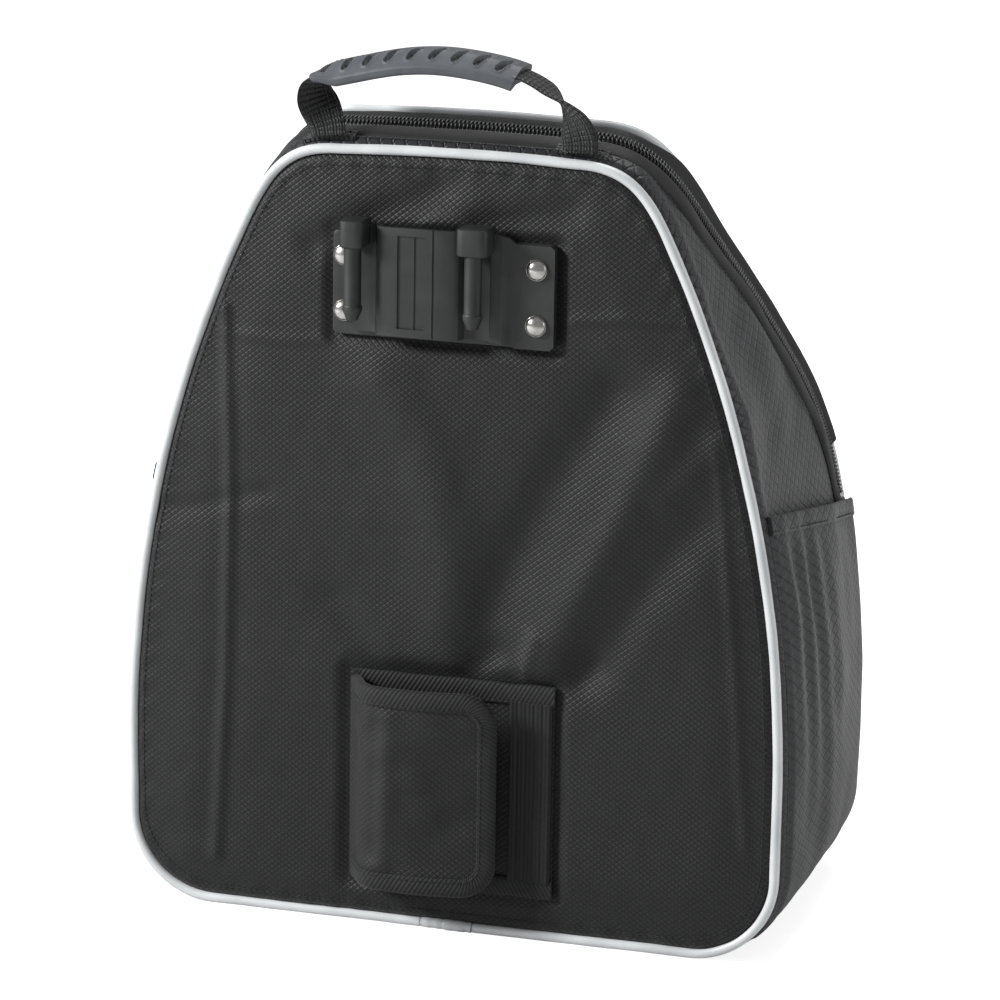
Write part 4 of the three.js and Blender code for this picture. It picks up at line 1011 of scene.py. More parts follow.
class Finishes:
    """The bag's materials, each made once and shared by the pieces."""

    def __init__(self) -> None:
        """Makes every material."""
        # Coated polyester ripstop: near black, its fine slanted grid catches the light cell by cell.
        self.front = Cloth(
            "Ripstop polyester, fine", weave=Weave.RIPSTOP, ground="#212222", line="#030303",
            cell=(3.7, 2.9), relief=0.24, roughness=0.55, sheen=0.12, line_width=0.24,
        ).material()
        # The same cloth in a coarser grid for the gusset and the pockets, slightly blue.
        self.side = Cloth(
            "Ripstop polyester, coarse", weave=Weave.RIPSTOP, ground="#212427", line="#020202",
            cell=(6.6, 10.0), relief=0.34, roughness=0.45, sheen=0.14, line_width=0.15,
        ).material()
        # Plain nylon for the zip welt: smooth and darker, so the fold reads as one soft roll.
        self.plain = Cloth(
            "Nylon, plain weave", weave=Weave.PLAIN, ground="#191a1b", line="#0e0e0f", cell=(0.9, 0.9),
            relief=0.06, roughness=0.62, sheen=0.08,
        ).material()
        # Grosgrain binding tape: slanted ribs that give a rope-like edge.
        self.binding = Cloth(
            "Grosgrain tape", weave=Weave.RIBBED, ground="#272828", line="#080808", cell=(2.0, 0.9),
            relief=0.5, roughness=0.7, sheen=0.1, turn=32.0,
        ).material()
        # The same tape where its ribs run along the edge.
        self.webbing = Cloth(
            "Polyester webbing", weave=Weave.RIBBED, ground="#1c1d1e", line="#060606", cell=(2.2, 1.3),
            relief=0.45, roughness=0.68, sheen=0.1, turn=90.0,
        ).material()
        # Handle webbing in a coarse basket weave.
        self.strap = Cloth(
            "Polypropylene webbing", weave=Weave.BASKET, ground="#2b2c2d", line="#030303", cell=(2.5, 2.1),
            relief=0.7, roughness=0.5, sheen=0.15,
        ).material()
        self.tape = Cloth(
            "Zip tape", weave=Weave.RIBBED, ground="#1c1c1d", line="#0c0c0c", cell=(0.9, 0.7), relief=0.12,
            roughness=0.75, sheen=0.05, turn=45.0,
        ).material()
        self.lining = Cloth(
            "Nylon lining", weave=Weave.PLAIN, ground="#26282a", line="#161718", cell=(1.0, 1.0),
            relief=0.05, roughness=0.58, sheen=0.05,
        ).material()
        self.thread = Cloth(
            "Sewing thread", weave=Weave.TWILL, ground="#2b2c2e", line="#141415", cell=(0.5, 0.5),
            relief=0.04, roughness=0.55,
        ).material()
        self.hooks = Cloth(
            "Hook tape", weave=Weave.BASKET, ground="#222324", line="#060606", cell=(1.6, 1.6), relief=0.6,
            roughness=0.8,
        ).material()
        # Vinyl-covered piping cord: pale silver grey with a soft shine along its crest.
        self.piping = Moulded(
            "Piping vinyl", ground="#d6d9da", shade="#c4c8ca", grain=0.7, relief=0.05, roughness=0.38,
            coat=0.15,
        ).material()
        self.coil = Moulded(
            "Nylon coil", ground="#2e2f31", shade="#232425", grain=0.3, relief=0.01, roughness=0.3,
        ).material()
        # Glass-filled nylon for the bracket: dark grey, slightly dusty, with a soft shine on its edges.
        self.bracket = Moulded(
            "Nylon moulding", ground="#2b2c2c", shade="#222323", grain=0.35, relief=0.05, roughness=0.48,
        ).material()
        self.board = Moulded(
            "Polyethylene board", ground="#2a2b2c", shade="#222324", grain=1.2, relief=0.08, roughness=0.6,
        ).material()
        self.rubber = Moulded(
            "Thermoplastic rubber", ground="#505458", shade="#474b4f", grain=0.25, relief=0.03,
            roughness=0.5,
        ).material()
        self.nickel = Plated(
            "Nickel plate", ground="#c9c8c4", shade="#aeaca8", roughness=0.22,
        ).material()


def dress(
    piece: bpy.types.Object, body: str, nodes: Sequence[str] = ()
) -> bpy.types.Object:
    """Gives a finished piece its body and hides the frame nodes it stands for.

    Args:
        piece: The piece.
        body: The body it rides on.
        nodes: Frame nodes it replaces.

    Returns:
        The piece.
    """
    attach(piece, body)
    if nodes:
        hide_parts(*nodes)
    LOG.info("%s: rides %s, %d faces", piece.name, body, len(piece.data.polygons))
    return piece


def keep(frame: dict, node: str, finish: bpy.types.Material) -> None:
    """Gives a frame node that stays its finish.

    Args:
        node: Name of the frame node.
        finish: Its material.
    """
    slots = frame["nodes"][node].data.materials
    slots.clear()
    slots.append(finish)
    LOG.info("%s: kept from the frame", node)


# ------------------------------------------------------------------ front panel


@dataclass
class FrontPanel:
    """The front: a padded panel with the marks of the board behind it, edged with piping."""

    body: Body
    finishes: Finishes
    tuck: float = 3.4
    cloth: float = 4.0
    crown: float = 2.6
    fullness: float = 1.45
    piping_radius: float = 2.5
    join_length: float = 27.0
    plate_zone: tuple[float, float, float, float] = (-62.0, 53.0, 308.6, 361.0)
    wrap_zone: tuple[float, float, float, float] = (-51.5, 56.0, 24.0, 135.0)

    def relief(self, x: Array, z: Array, inward: Array) -> Array:
        """Height of the face over the flat: a crown, a tuck at the seam, ridges, hollows and the board's edges.

        Args:
            x: Place across.
            z: Place up.
            inward: Distance in from the seam.

        Returns:
            Height in mm.
        """
        height = self.crown * smooth(inward / 38) + 0.45 * ripple(x, z, 120, 11) + 0.16 * ripple(x, z, 45, 12)
        # Each fold has its height, the width of its rounding and its line.
        ridges = [
            (1.25, 3.4, [(-120, 316), (-117, 250), (-117, 200), (-118, 150), (-120, 100), (-124, 28)]),
            (-0.55, 9.0, [(-120, 316), (-117, 250), (-117, 200), (-118, 150), (-120, 100), (-124, 28)]),
            (0.7, 2.6, [(62, 324), (88, 327), (118, 326)]),
            (0.5, 2.6, [(-118, 304), (-90, 303), (-64, 305)]),
            (0.6, 3.0, [(136, 262), (147, 164), (156, 61)]),
            (2.3, 17.0, [(-36, 286), (-14, 255), (-3, 215), (1, 180), (4, 152)]),
            (-2.6, 14.0, [(14, 152), (32, 195), (55, 240), (84, 288)]),
            (2.7, 12.0, [(50, 146), (67, 185), (91, 230), (117, 290)]),
            (-1.7, 11.0, [(72, 142), (97, 182), (126, 226)]),
            (1.2, 8.0, [(112, 238), (136, 268)]),
            (-1.5, 9.0, [(-72, 352), (-42, 368), (-8, 383)]),
            (-1.2, 8.0, [(14, 368), (60, 378)]),
            (-0.7, 5.0, [(-164, 207), (-130, 214), (-98, 224)]),
            (-1.8, 8.0, [(16, 142), (24, 150)]),
            (-1.8, 9.0, [(62, 138), (74, 148)]),
            (1.3, 4.0, [(38, 134), (45, 160)]),
            (-1.0, 9.0, [(-40, 142), (-60, 170)]),
            (0.9, 10.0, [(-140, 26), (-90, 18), (-20, 16)]),
        ]
        for amount, width, line in ridges:
            height = height + self.fullness * amount * crease(x, z, line, width)
        height = height + 0.8 * (1 - smooth((np.hypot(x + 3, z - 352) - 19) / 4))
        pressed = smooth(outside(x, z, self.plate_zone) / 7) * smooth(outside(x, z, self.wrap_zone) / 9)
        height = height * pressed - 0.25 * (1 - pressed)
        puckers = 0.22 * np.sin(np.arctan2(z - 200, x) * 96) * np.exp(-(((inward - 6) / 5) ** 2))
        return np.maximum(height + puckers, -2.6) * smooth(inward / 4) - 2.6 * (1 - smooth(inward / 4.5))

    def panel(self) -> bpy.types.Object:
        """The padded panel, on rings from the seam to the middle.

        Returns:
            The piece.
        """
        centre = (0.0, 205.0)
        border_at = np.linspace(0, self.body.far, 620, endpoint=False)
        x, z, nx, nz = self.body.outline.at(border_at)
        border = np.stack([x - self.tuck * nx, z - self.tuck * nz], axis=-1)
        shares = ring_shares(96)
        flat = polar(border, centre, shares)
        inward = edge_distance(border, centre, shares)
        height = self.relief(flat[..., 0], flat[..., 1], inward)
        face = np.stack([flat[..., 0], self.body.front - height, flat[..., 1]], axis=-1)
        inner = np.stack(
            [flat[..., 0], np.full_like(height, self.body.front + self.cloth - 0.1), flat[..., 1]], axis=-1
        )
        places = np.concatenate([flat, flat[:, :1]], axis=1)
        sketch = Sketch("front_panel_cloth")
        sketch.slab(face, inner, places, close_columns=True, pole=True)
        row = int(np.argmin(np.abs(inward[:, 0] - 6.5)))
        seam = np.concatenate([face[row], face[row, :1]])
        stitches(sketch, seam, np.tile([0.0, -1.0, 0.0], (len(seam), 1)), finish=1)
        piece = sketch.build([self.finishes.front, self.finishes.thread])
        return dress(piece, "bag", ["front_panel"])

    def piping_path(self, distance: Array) -> tuple[Array, Array]:
        """Middle of the front piping and the outward direction, with a slight waver of the hand-guided seam.

        Args:
            distance: Distances along the outline.

        Returns:
            The two, a row for each distance.
        """
        waver = 0.25 * np.sin(distance / 23) + 0.15 * np.sin(distance / 9.7)
        middle = self.body.shell(
            distance,
            np.full_like(distance, self.body.front + self.piping_radius - 0.5),
            -self.piping_radius + waver * 0.5,
        )
        _, _, nx, nz = self.body.outline.at(distance)
        return middle, np.stack([nx, np.zeros_like(nx), nz], axis=-1)

    def piping(self) -> bpy.types.Object:
        """The piping round the front, a cord 5 mm thick.

        Returns:
            The piece.
        """
        half = self.join_length / 2 - 1.5
        distance = np.linspace(half, self.body.far - half, 560)
        middle, outward = self.piping_path(distance)
        ahead = unit(np.gradient(middle, axis=0))
        radius = self.piping_radius + 0.08 * ripple(distance, distance * 0, 60, 4)
        radius = radius * np.clip(np.minimum(distance - half, self.body.far - half - distance) / 0.5, 0.02, 1)
        rings = tube_rings(middle, outward, np.cross(ahead, outward), radius, 20)
        sketch = Sketch("front_piping_cord")
        sketch.roll(rings, middles=middle)
        piece = sketch.build([self.finishes.piping])
        return dress(piece, "bag", ["front_piping"])

    def join(self) -> bpy.types.Object:
        """The sleeve over the piping's two ends, with a small step where one lies over the other.

        Returns:
            The piece.
        """
        half = self.join_length / 2
        distance = np.concatenate([[-half], np.linspace(-half + 0.2, half - 0.2, 80), [half]])
        middle, outward = self.piping_path(distance)
        ahead = unit(np.gradient(middle, axis=0))
        lap = 0.35 * smooth((distance + 2.0) / 1.2) * (1 - smooth((distance - 9.5) / 1.0))
        radius = self.piping_radius + 0.22 + lap + 0.12 * np.sin(distance * 1.1)
        radius = np.where(np.abs(distance) > half - 0.1, self.piping_radius - 0.3, radius)
        rings = tube_rings(middle, outward, np.cross(ahead, outward), radius, 20)
        sketch = Sketch("front_piping_sleeve")
        sketch.roll(rings, middles=middle)
        piece = sketch.build([self.finishes.piping])
        return dress(piece, "bag", ["front_piping_join"])

    def build(self) -> None:
        """Builds the panel, its piping and the sleeve on it."""
        self.panel()
        self.piping()
        self.join()


# ------------------------------------------------------------------ gusset


@dataclass
class Gusset:
    """The band round the sides, crown and base, with the welt that lies along the zip."""

    body: Body
    finishes: Finishes
    front: float = -77.4
    cloth: float = 3.0
    step: float = 2.6
    rear_edge: float = 29.6
    shoulder_drop: float = 36.5
    welt_start: float = 19.9
    welt_width: float = 10.6

    def rear_line(self, distance: Array, above: Array) -> Array:
        """Y where the gusset ends: at the rear piping below the zip, and under the welt above its ends.

        Args:
            distance: Distances along the outline.
            above: Which places lie above the zip's ends.

        Returns:
            Y at each distance.
        """
        _, s = self.body.outline.fold(distance)
        table = np.linspace(0, self.body.outline.half_length, 900)
        place, y = self.body.in_from_rear(table, self.rear_edge - 1.5)
        order = np.argsort(place)
        return np.where(above, np.interp(s, place[order], y[order]), self.body.rear_edge(distance) - 3.2)

    def relief(self, distance: Array, y: Array, rear: Array, above: Array) -> Array:
        """Height over the skin: tucked in at both seams, a soft roll behind the piping and shallow waves.

        Args:
            distance: Distances along the outline.
            y: Depth.
            rear: Y where the gusset ends.
            above: Which places lie above the zip's ends.

        Returns:
            Height in mm.
        """
        _, z, _, _ = self.body.outline.at(distance)
        from_front = y - self.front
        from_rear = rear - y
        free = smooth((z - 238) / 25) + 0.25
        roll = 1.1 * np.exp(-(((from_front - 9) / 5) ** 2)) * smooth((z - 4) / 20)
        waves = free * (0.9 * ripple(distance, y, 95, 21) + 0.4 * ripple(distance, y * 0.4, 40, 22))
        tuck = smooth(from_front / 4.5) * smooth(from_rear / np.where(above, 3.0, 4.5))
        return (roll + waves * smooth(from_front / 14) * smooth(from_rear / 10)) * tuck - 2.4 * (1 - tuck)

    def part(self, name: str, distance: Array, above: Array, node: str) -> bpy.types.Object:
        """One length of the gusset.

        Args:
            name: The piece's name.
            distance: Stations along the outline.
            above: Which of them lie above the zip's ends.
            node: The frame node it stands for.

        Returns:
            The piece.
        """
        share = np.concatenate([np.linspace(0, 0.1, 9)[:-1], np.linspace(0.1, 0.9, 34)[:-1], np.linspace(0.9, 1, 8)])
        rear = self.rear_line(distance, above)[:, None]
        y = self.front + (rear - self.front) * share[None]
        d = np.broadcast_to(distance[:, None], y.shape)
        out = self.relief(d, y, rear, above[:, None])
        outer = self.body.shell(d, y, out)
        inner = self.body.shell(d, y, np.minimum(out - 1.2, -self.cloth))
        sketch = Sketch(name)
        sketch.slab(outer, inner, np.stack([d, y], axis=-1), inner_finish=1)
        piece = sketch.build([self.finishes.side, self.finishes.lining])
        return dress(piece, "bag", [node])

    def welt(self) -> bpy.types.Object:
        """The soft fold along the zip: a flattened roll whose width and height vary a little.

        Returns:
            The piece.
        """
        path = np.linspace(self.body.end_at - 0.5, self.body.far - self.body.end_at + 0.5, 300)
        angle = np.linspace(0, 2 * np.pi, 26, endpoint=False)
        grid_d, grid_a = np.meshgrid(path, angle, indexing="ij")
        wave = 0.45 * ripple(grid_d, grid_d * 0, 85, 31)
        width = self.welt_width / 2 + wave
        squared = np.sign(np.cos(grid_a)) * np.abs(np.cos(grid_a)) ** 0.8
        across = self.welt_start + self.welt_width / 2 + wave * 0.6 + width * squared
        rise = np.where(np.sin(grid_a) > 0, 2.1 + 0.5 * ripple(grid_d, grid_d * 0, 60, 32), 2.3)
        out = -0.5 + rise * np.sin(grid_a)
        ends = smooth((grid_d - path[0]) / 2.0) * smooth((path[-1] - grid_d) / 2.0)
        middle = self.welt_start + self.welt_width / 2
        rings = self.body.zip_point(
            grid_d, middle + (across - middle) * np.maximum(ends, 0.001), -0.9 + (out + 0.9) * np.maximum(ends, 0.001)
        )
        flat = np.stack(np.meshgrid(path, np.linspace(0, 24, 27), indexing="ij"), axis=-1)
        sketch = Sketch("zip_welt_fold")
        centre = self.body.zip_point(path[[0, -1]], np.full(2, middle), np.full(2, -0.9))
        sketch.roll(rings, flat, centre)
        seam_d = np.linspace(path[0] + 4, path[-1] - 4, 500)
        line = self.body.zip_point(
            seam_d, np.full_like(seam_d, self.welt_start + self.welt_width + 1.4), np.full_like(seam_d, 0.55)
        )
        lifted = self.body.zip_point(
            seam_d, np.full_like(seam_d, self.welt_start + self.welt_width + 1.4), np.full_like(seam_d, 1.55)
        )
        stitches(sketch, line, lifted - line, finish=1)
        piece = sketch.build([self.finishes.plain, self.finishes.thread])
        return dress(piece, "bag", ["gusset_welt"])

    def build(self) -> None:
        """Builds the base, the two sides, the crown and the welt."""
        outline = self.body.outline
        corner = float(outline.at_height(outline.corner))
        shoulder = float(outline.at_height(outline.height - self.shoulder_drop))
        step_at = self.body.end_at - self.step
        base = np.linspace(-corner + GAP / 2, corner - GAP / 2, 150)
        self.part("gusset_base_cloth", base, np.zeros(len(base), bool), "gusset_base")
        low = np.linspace(corner - GAP / 2, step_at, 60)
        high = np.linspace(step_at + 0.3, shoulder - GAP / 2, 80)
        side = np.concatenate([low, high])
        above = np.arange(len(side)) >= len(low)
        self.part("gusset_right_cloth", side, above, "gusset_right")
        self.part("gusset_left_cloth", -side, above, "gusset_left")
        crown = np.linspace(shoulder - GAP / 2, self.body.far - shoulder + GAP / 2, 110)
        self.part("gusset_top_cloth", crown, np.ones(len(crown), bool), "gusset_top")
        self.welt()


# ------------------------------------------------------------------ back and lid


@dataclass
class Back:
    """The back in one cloth that folds at the lid's hinge, its piping, and the lid's foam."""

    body: Body
    finishes: Finishes
    cloth: float = 3.0
    tuck: float = 3.4
    crown: float = 2.2
    piping_radius: float = 2.5
    foam_gap: float = 0.3
    foam: float = 4.0
    foam_inset: float = 17.3

    @property
    def fold(self) -> tuple[tuple[float, float, float], tuple[float, float, float]]:
        """Two points in metres, just under and just over the hinge line, along the back's face."""
        low, high = (
            self.body.back_point(
                np.zeros(1), np.array([self.body.hinge_z + step]), np.zeros(1)
            )[0] * MM for step in (-7.0, 7.0)
        )
        return tuple(low), tuple(high)

    def relief(self, x: Array, z: Array, inward: Array) -> Array:
        """Height over the flat back: a padded crown, tucked at the seam, creased along the fold line.

        Args:
            x: Place across.
            z: Place up.
            inward: Distance in from the seam.

        Returns:
            Height in mm.
        """
        height = self.crown * smooth(inward / 30) + 0.5 * ripple(x, z, 130, 41)
        crease_line = [(-170, self.body.hinge_z), (170, self.body.hinge_z)]
        height = height - (1.3 + self.crown * 0.6) * crease(x, z, crease_line, 7.0)
        return height * smooth(inward / 4) - 2.5 * (1 - smooth(inward / 4.5))

    def panel(self) -> bpy.types.Object:
        """The back's cloth, on rings from its seam to the middle.

        Returns:
            The piece.
        """
        centre = (0.0, 214.0)
        border = self.body.back_outline(np.linspace(0, self.body.far, 560, endpoint=False), self.tuck)
        shares = ring_shares(110)
        flat = polar(border, centre, shares)
        inward = edge_distance(border, centre, shares)
        x, z = flat[..., 0], flat[..., 1]
        sketch = Sketch("back_cloth")
        outer = self.body.back_point(x, z, self.relief(x, z, inward))
        inner = self.body.back_point(x, z, np.full_like(x, -self.cloth + 0.1))
        sketch.slab(
            outer, inner, np.concatenate([flat, flat[:, :1]], axis=1), close_columns=True, pole=True, inner_finish=1
        )
        row = int(np.argmin(np.abs(inward[:, 0] - 6.5)))
        seam = np.concatenate([outer[row], outer[row, :1]])
        normal = np.tile([0.0, 0.8, 0.6], (len(seam), 1))
        stitches(sketch, seam, normal, finish=2)
        piece = sketch.build([self.finishes.front, self.finishes.lining, self.finishes.thread])
        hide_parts("rear_panel", "lid_panel")
        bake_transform(piece, "bag", "lid", *self.fold)
        LOG.info("%s: bends from bag to lid, %d faces", piece.name, len(piece.data.polygons))
        return piece

    def piping_middle(self, distance: Array) -> Array:
        """Middle of the rear piping, touching both the gusset's face and the back's face.

        Args:
            distance: Distances along the outline.

        Returns:
            One point for each distance.
        """
        edge = self.body.zip_point(distance, np.zeros_like(distance), np.zeros_like(distance))
        _, z, nx, nz = self.body.outline.at(distance)
        lean = np.clip(
            np.arcsin(np.clip((edge[:, 2] - self.body.bend_z) / self.body.bend_radius, 0, 1)), 0, self.body.slope
        )
        back = np.stack([np.zeros_like(lean), np.cos(lean), np.sin(lean)], axis=-1)
        tilt = np.arctan2(self.body.rise_at(z), self.body.top_depth)
        skin = unit(np.stack([nx, -np.sin(tilt) * np.maximum(nz, 0), nz * np.cos(tilt)], axis=-1))
        pull = self.piping_radius / (1 + (back * skin).sum(-1, keepdims=True))
        beside = (1 - smooth((np.abs(nz) - 0.55) / 0.35))[:, None]
        return edge - (back + skin) * pull + (back * 2.2 - skin * 2.4) * beside

    def piping(self) -> bpy.types.Object:
        """The rear piping in one closed loop that bends with the lid.

        Returns:
            The piece.
        """
        distance = np.linspace(0, self.body.far, 620, endpoint=False)
        middle = self.piping_middle(distance)
        ahead = unit(np.roll(middle, -1, axis=0) - np.roll(middle, 1, axis=0))
        inward = unit(np.array([0.0, -1.0, 0.0]) + ahead * ahead[:, 1:2])
        sketch = Sketch("rear_piping_cord")
        radius = np.full(len(distance), self.piping_radius)
        sketch.sheet(
            tube_rings(middle, inward, np.cross(ahead, inward), radius, 18), close_rows=True, close_columns=True
        )
        piece = sketch.build([self.finishes.piping])
        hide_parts("rear_piping", "lid_piping")
        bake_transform(piece, "bag", "lid", *self.fold)
        LOG.info("%s: bends from bag to lid, %d faces", piece.name, len(piece.data.polygons))
        return piece

    def pad(self) -> bpy.types.Object:
        """The lid's foam, covered with lining: thick in the middle and pinched at its sewn edge.

        Returns:
            The piece.
        """
        fold = self.body.fold_at + 13.5
        path = np.linspace(fold, self.body.far - fold, 330)
        arch = self.body.back_outline(path, self.foam_inset)
        foot = np.linspace(arch[-1], arch[0], 110)[1:-1]
        border = np.concatenate([arch, foot])
        centre = (0.0, 318.0)
        shares = ring_shares(46)
        flat = polar(border, centre, shares)
        inward = edge_distance(border, centre, shares)
        x, z = flat[..., 0], flat[..., 1]
        loft = smooth(inward / 9)
        top = self.body.back_point(x, z, np.full_like(x, -self.cloth - self.foam_gap))
        low = self.body.back_point(
            x, z, -self.cloth - self.foam_gap - 0.9 - (self.foam - 1.0) * loft - 0.3 * ripple(x, z, 60, 51) * loft
        )
        sketch = Sketch("lid_foam_pad")
        sketch.slab(top, low, np.concatenate([flat, flat[:, :1]], axis=1), close_columns=True, pole=True)
        piece = sketch.build([self.finishes.lining])
        return dress(piece, "lid", ["lid_foam"])

    def build(self) -> None:
        """Builds the cloth, the piping and the lid's pad."""
        self.panel()
        self.piping()
        self.pad()


# ------------------------------------------------------------------ zip


@dataclass
class ZipTrack:
    """The coil zip: two tapes, two rows of coils, the tails under the fold, the stops, the slider and its pull."""

    body: Body
    finishes: Finishes
    tape_top: float = -3.4
    tape_thick: float = 1.2
    lid_teeth: float = 10.0
    body_teeth: float = 14.1
    row: float = 3.5
    body_tape: float = 11.0
    panel_inset: float = 5.3
    pitch: float = 2.1
    middle: float = 13.8

    @cached_property
    def track(self) -> Array:
        """Real distance travelled along the zip against distance along the outline.

        Returns:
            Two columns, the outline distance and the real one.
        """
        d = np.linspace(0, self.body.far, 3000)
        points = self.body.zip_point(d, np.full_like(d, self.middle), np.zeros_like(d))
        return np.column_stack([d, along_path(points)])

    def places(self, start: float, end: float, phase: float) -> Array:
        """Outline distances of coils set at an even pitch along the real zip.

        Args:
            start: Outline distance where the row starts.
            end: Where it ends.
            phase: Share of the pitch the row is moved by.

        Returns:
            One distance for each coil.
        """
        low, high = np.interp([start, end], self.track[:, 0], self.track[:, 1])
        first = np.ceil(low / self.pitch - phase)
        real = (np.arange(first, high / self.pitch - phase) + phase) * self.pitch
        return np.interp(real, self.track[:, 1], self.track[:, 0])

    def coils(
        self, name: str, spans: Sequence[tuple[float, float]], lid_side: bool, body: str, nodes: Sequence[str]
    ) -> bpy.types.Object:
        """A row of coils: each a bar that rises from the tape, crosses to the middle and hooks down.

        Args:
            name: The piece's name.
            spans: Outline distances the row covers.
            lid_side: True for the lid's row and false for the body's.
            body: The body it rides on.
            nodes: Frame nodes it stands for.

        Returns:
            The piece.
        """
        d = np.concatenate([self.places(low, high, 0.0 if lid_side else 0.5) for low, high in spans])

        def beside(step: float, aside: float, lift: float) -> Array:
            """Points a little along, across and out from each coil's place."""
            return self.body.zip_point(d + step, np.full_like(d, self.middle + aside), np.full_like(d, lift))

        base = beside(0.0, 0.0, 0.0)
        ahead = unit(beside(0.6, 0.0, 0.0) - beside(-0.6, 0.0, 0.0))
        across = unit(beside(0.0, 1.0, 0.0) - beside(0.0, -1.0, 0.0))
        out = unit(beside(0.0, 0.0, 1.0) - base)
        way = -1.0 if lid_side else 1.0
        reach = np.array([4.1, 3.9, 3.2, 1.9, 0.4, -0.5, -0.75])
        rise = np.array([-2.9, -1.6, -0.62, -0.42, -0.55, -1.1, -2.1])
        slant = np.array([-0.5, -0.48, -0.35, -0.1, 0.2, 0.35, 0.4])
        radius = np.array([0.42, 0.5, 0.56, 0.58, 0.62, 0.62, 0.5])
        line = (
            base[:, None]
            + across[:, None] * (way * reach)[:, None]
            + out[:, None] * rise[:, None]
            + ahead[:, None] * slant[:, None]
        )
        run = unit(np.gradient(line, axis=1))
        side = unit(np.cross(run, np.broadcast_to(ahead[:, None], run.shape)))
        rings = tube_rings(
            line, np.broadcast_to(ahead[:, None], run.shape), side, np.broadcast_to(radius, line.shape[:2]), 6
        )
        sketch = Sketch(name)
        sketch.roll(rings, middles=line)
        piece = sketch.build([self.finishes.coil], sharp=80)
        return dress(piece, body, nodes)

    def tape(
        self,
        name: str,
        span: tuple[float, float],
        inner: float,
        outer: float,
        body: str,
        nodes: Sequence[str],
        steps: int = 300,
    ) -> bpy.types.Object:
        """A length of tape along the coils.

        Args:
            name: The piece's name.
            span: Outline distances it covers.
            inner: Its first edge, in from the rear edge.
            outer: Its second edge.
            body: The body it rides on.
            nodes: Frame nodes it stands for.
            steps: Stations along it.

        Returns:
            The piece.
        """
        d, share = np.meshgrid(np.linspace(*span, steps), np.linspace(0, 1, 9), indexing="ij")
        _, _, _, nz = self.body.outline.at(d)
        start = inner - (1.8 * smooth(nz) if inner < self.lid_teeth else 0.0)
        across = start + (outer - start) * share
        bow = 0.25 * np.sin(np.pi * share)
        sketch = Sketch(name)
        low = self.tape_top - self.tape_thick
        sketch.slab(
            self.body.zip_point(
                d, across, self.tape_top + bow
            ), self.body.zip_point(d, across, low + bow * 0.5), np.stack([d, across], axis=-1)
        )
        piece = sketch.build([self.finishes.tape])
        return dress(piece, body, nodes)

    def cord(self, name: str, span: tuple[float, float], across: float, body: str) -> bpy.types.Object:
        """The woven cord sewn down beside the coils, as a thin half-round bead.

        Args:
            name: The piece's name.
            span: Outline distances it covers.
            across: 0 at the front seam and 1 at the rear.
            body: The body it rides on.

        Returns:
            The piece.
        """
        d = np.linspace(*span, 300)
        line = self.body.zip_point(d, np.full_like(d, across), np.full_like(d, self.tape_top + 0.35))
        lifted = self.body.zip_point(d, np.full_like(d, across), np.full_like(d, self.tape_top + 1.35))
        sketch = Sketch(name)
        stitches(sketch, line, lifted - line, pitch=2.4, thread=0.42)
        piece = sketch.build([self.finishes.tape], sharp=80)
        return dress(piece, body)

    def rim(self) -> bpy.types.Object:
        """The lid's edge: its cloth turned over the corner and down to the coils, lower over the crown.

        Returns:
            The piece.
        """
        fold = self.body.fold_at
        d, share = np.meshgrid(
            np.linspace(fold + GAP, self.body.far - fold - GAP, 320), np.linspace(0, 1, 12), indexing="ij"
        )
        _, _, _, nz = self.body.outline.at(d)
        crown = smooth((nz - 0.55) / 0.35)
        across = 0.6 + 3.2 * crown + (8.6 - 3.2 * crown) * share
        out = -0.4 - 1.5 * crown - 2.2 * smooth(share * 1.1) * (1 - 0.5 * crown) + 0.3 * ripple(d, d * 0, 70, 35)
        sketch = Sketch("lid_edge_cloth")
        sketch.slab(
            self.body.zip_point(d, across, out),
            self.body.zip_point(d, across, out - 1.0),
            np.stack([d, across], axis=-1),
        )
        return dress(sketch.build([self.finishes.plain]), "lid")

    def build(self) -> None:
        """Builds tapes, coils and stitching, and finishes the slider, pull and stops."""
        self.rim()
        far, fold, end = self.body.far, self.body.fold_at, self.body.end_at
        start = end + 3.6
        lid = (fold + GAP, far - fold - GAP)
        whole = (end, far - end)
        self.tape(
            "zip_tape_lid_cloth",
            lid,
            self.panel_inset - 1.2,
            self.lid_teeth + self.row - 0.4,
            "lid",
            ["zip_tape_lid"],
        )
        self.tape(
            "zip_tape_body_cloth",
            whole,
            self.body_teeth + 0.4,
            self.body_teeth + self.body_tape,
            "bag",
            ["zip_tape_body"],
        )
        self.tape(
            "zip_tail_tape_right",
            (start, fold - GAP),
            self.panel_inset - 1.2,
            self.lid_teeth + self.row - 0.4,
            "bag",
            [],
            24,
        )
        self.tape(
            "zip_tail_tape_left",
            (far - fold + GAP, far - start),
            self.panel_inset - 1.2,
            self.lid_teeth + self.row - 0.4,
            "bag",
            [],
            24,
        )
        self.coils("zip_coils_lid", [lid], True, "lid", ["zip_chain_lid"])
        self.coils("zip_coils_body", [(start, far - start)], False, "bag", ["zip_chain_body"])
        self.coils("zip_coils_tail_right", [(start, fold - GAP)], True, "bag", ["zip_tail_right"])
        self.coils("zip_coils_tail_left", [(far - fold + GAP, far - start)], True, "bag", ["zip_tail_left"])
        self.cord("zip_sewing_lid", lid, self.lid_teeth - 0.9, "lid")
        self.cord("zip_sewing_body", (start, far - start), self.body_teeth + self.row + 0.9, "bag")
        for node, body in (("zip_slider", "slider"), ("zip_pull", "pull")):
            dress(copied(node, f"{node}_metal", 0.35, self.finishes.nickel), body, [node])
        for side in ("right", "left"):
            dress(
                copied(f"zip_stop_{side}", f"zip_stop_{side}_metal", 0.4, self.finishes.nickel),
                "bag",
                [f"zip_stop_{side}"],
            )


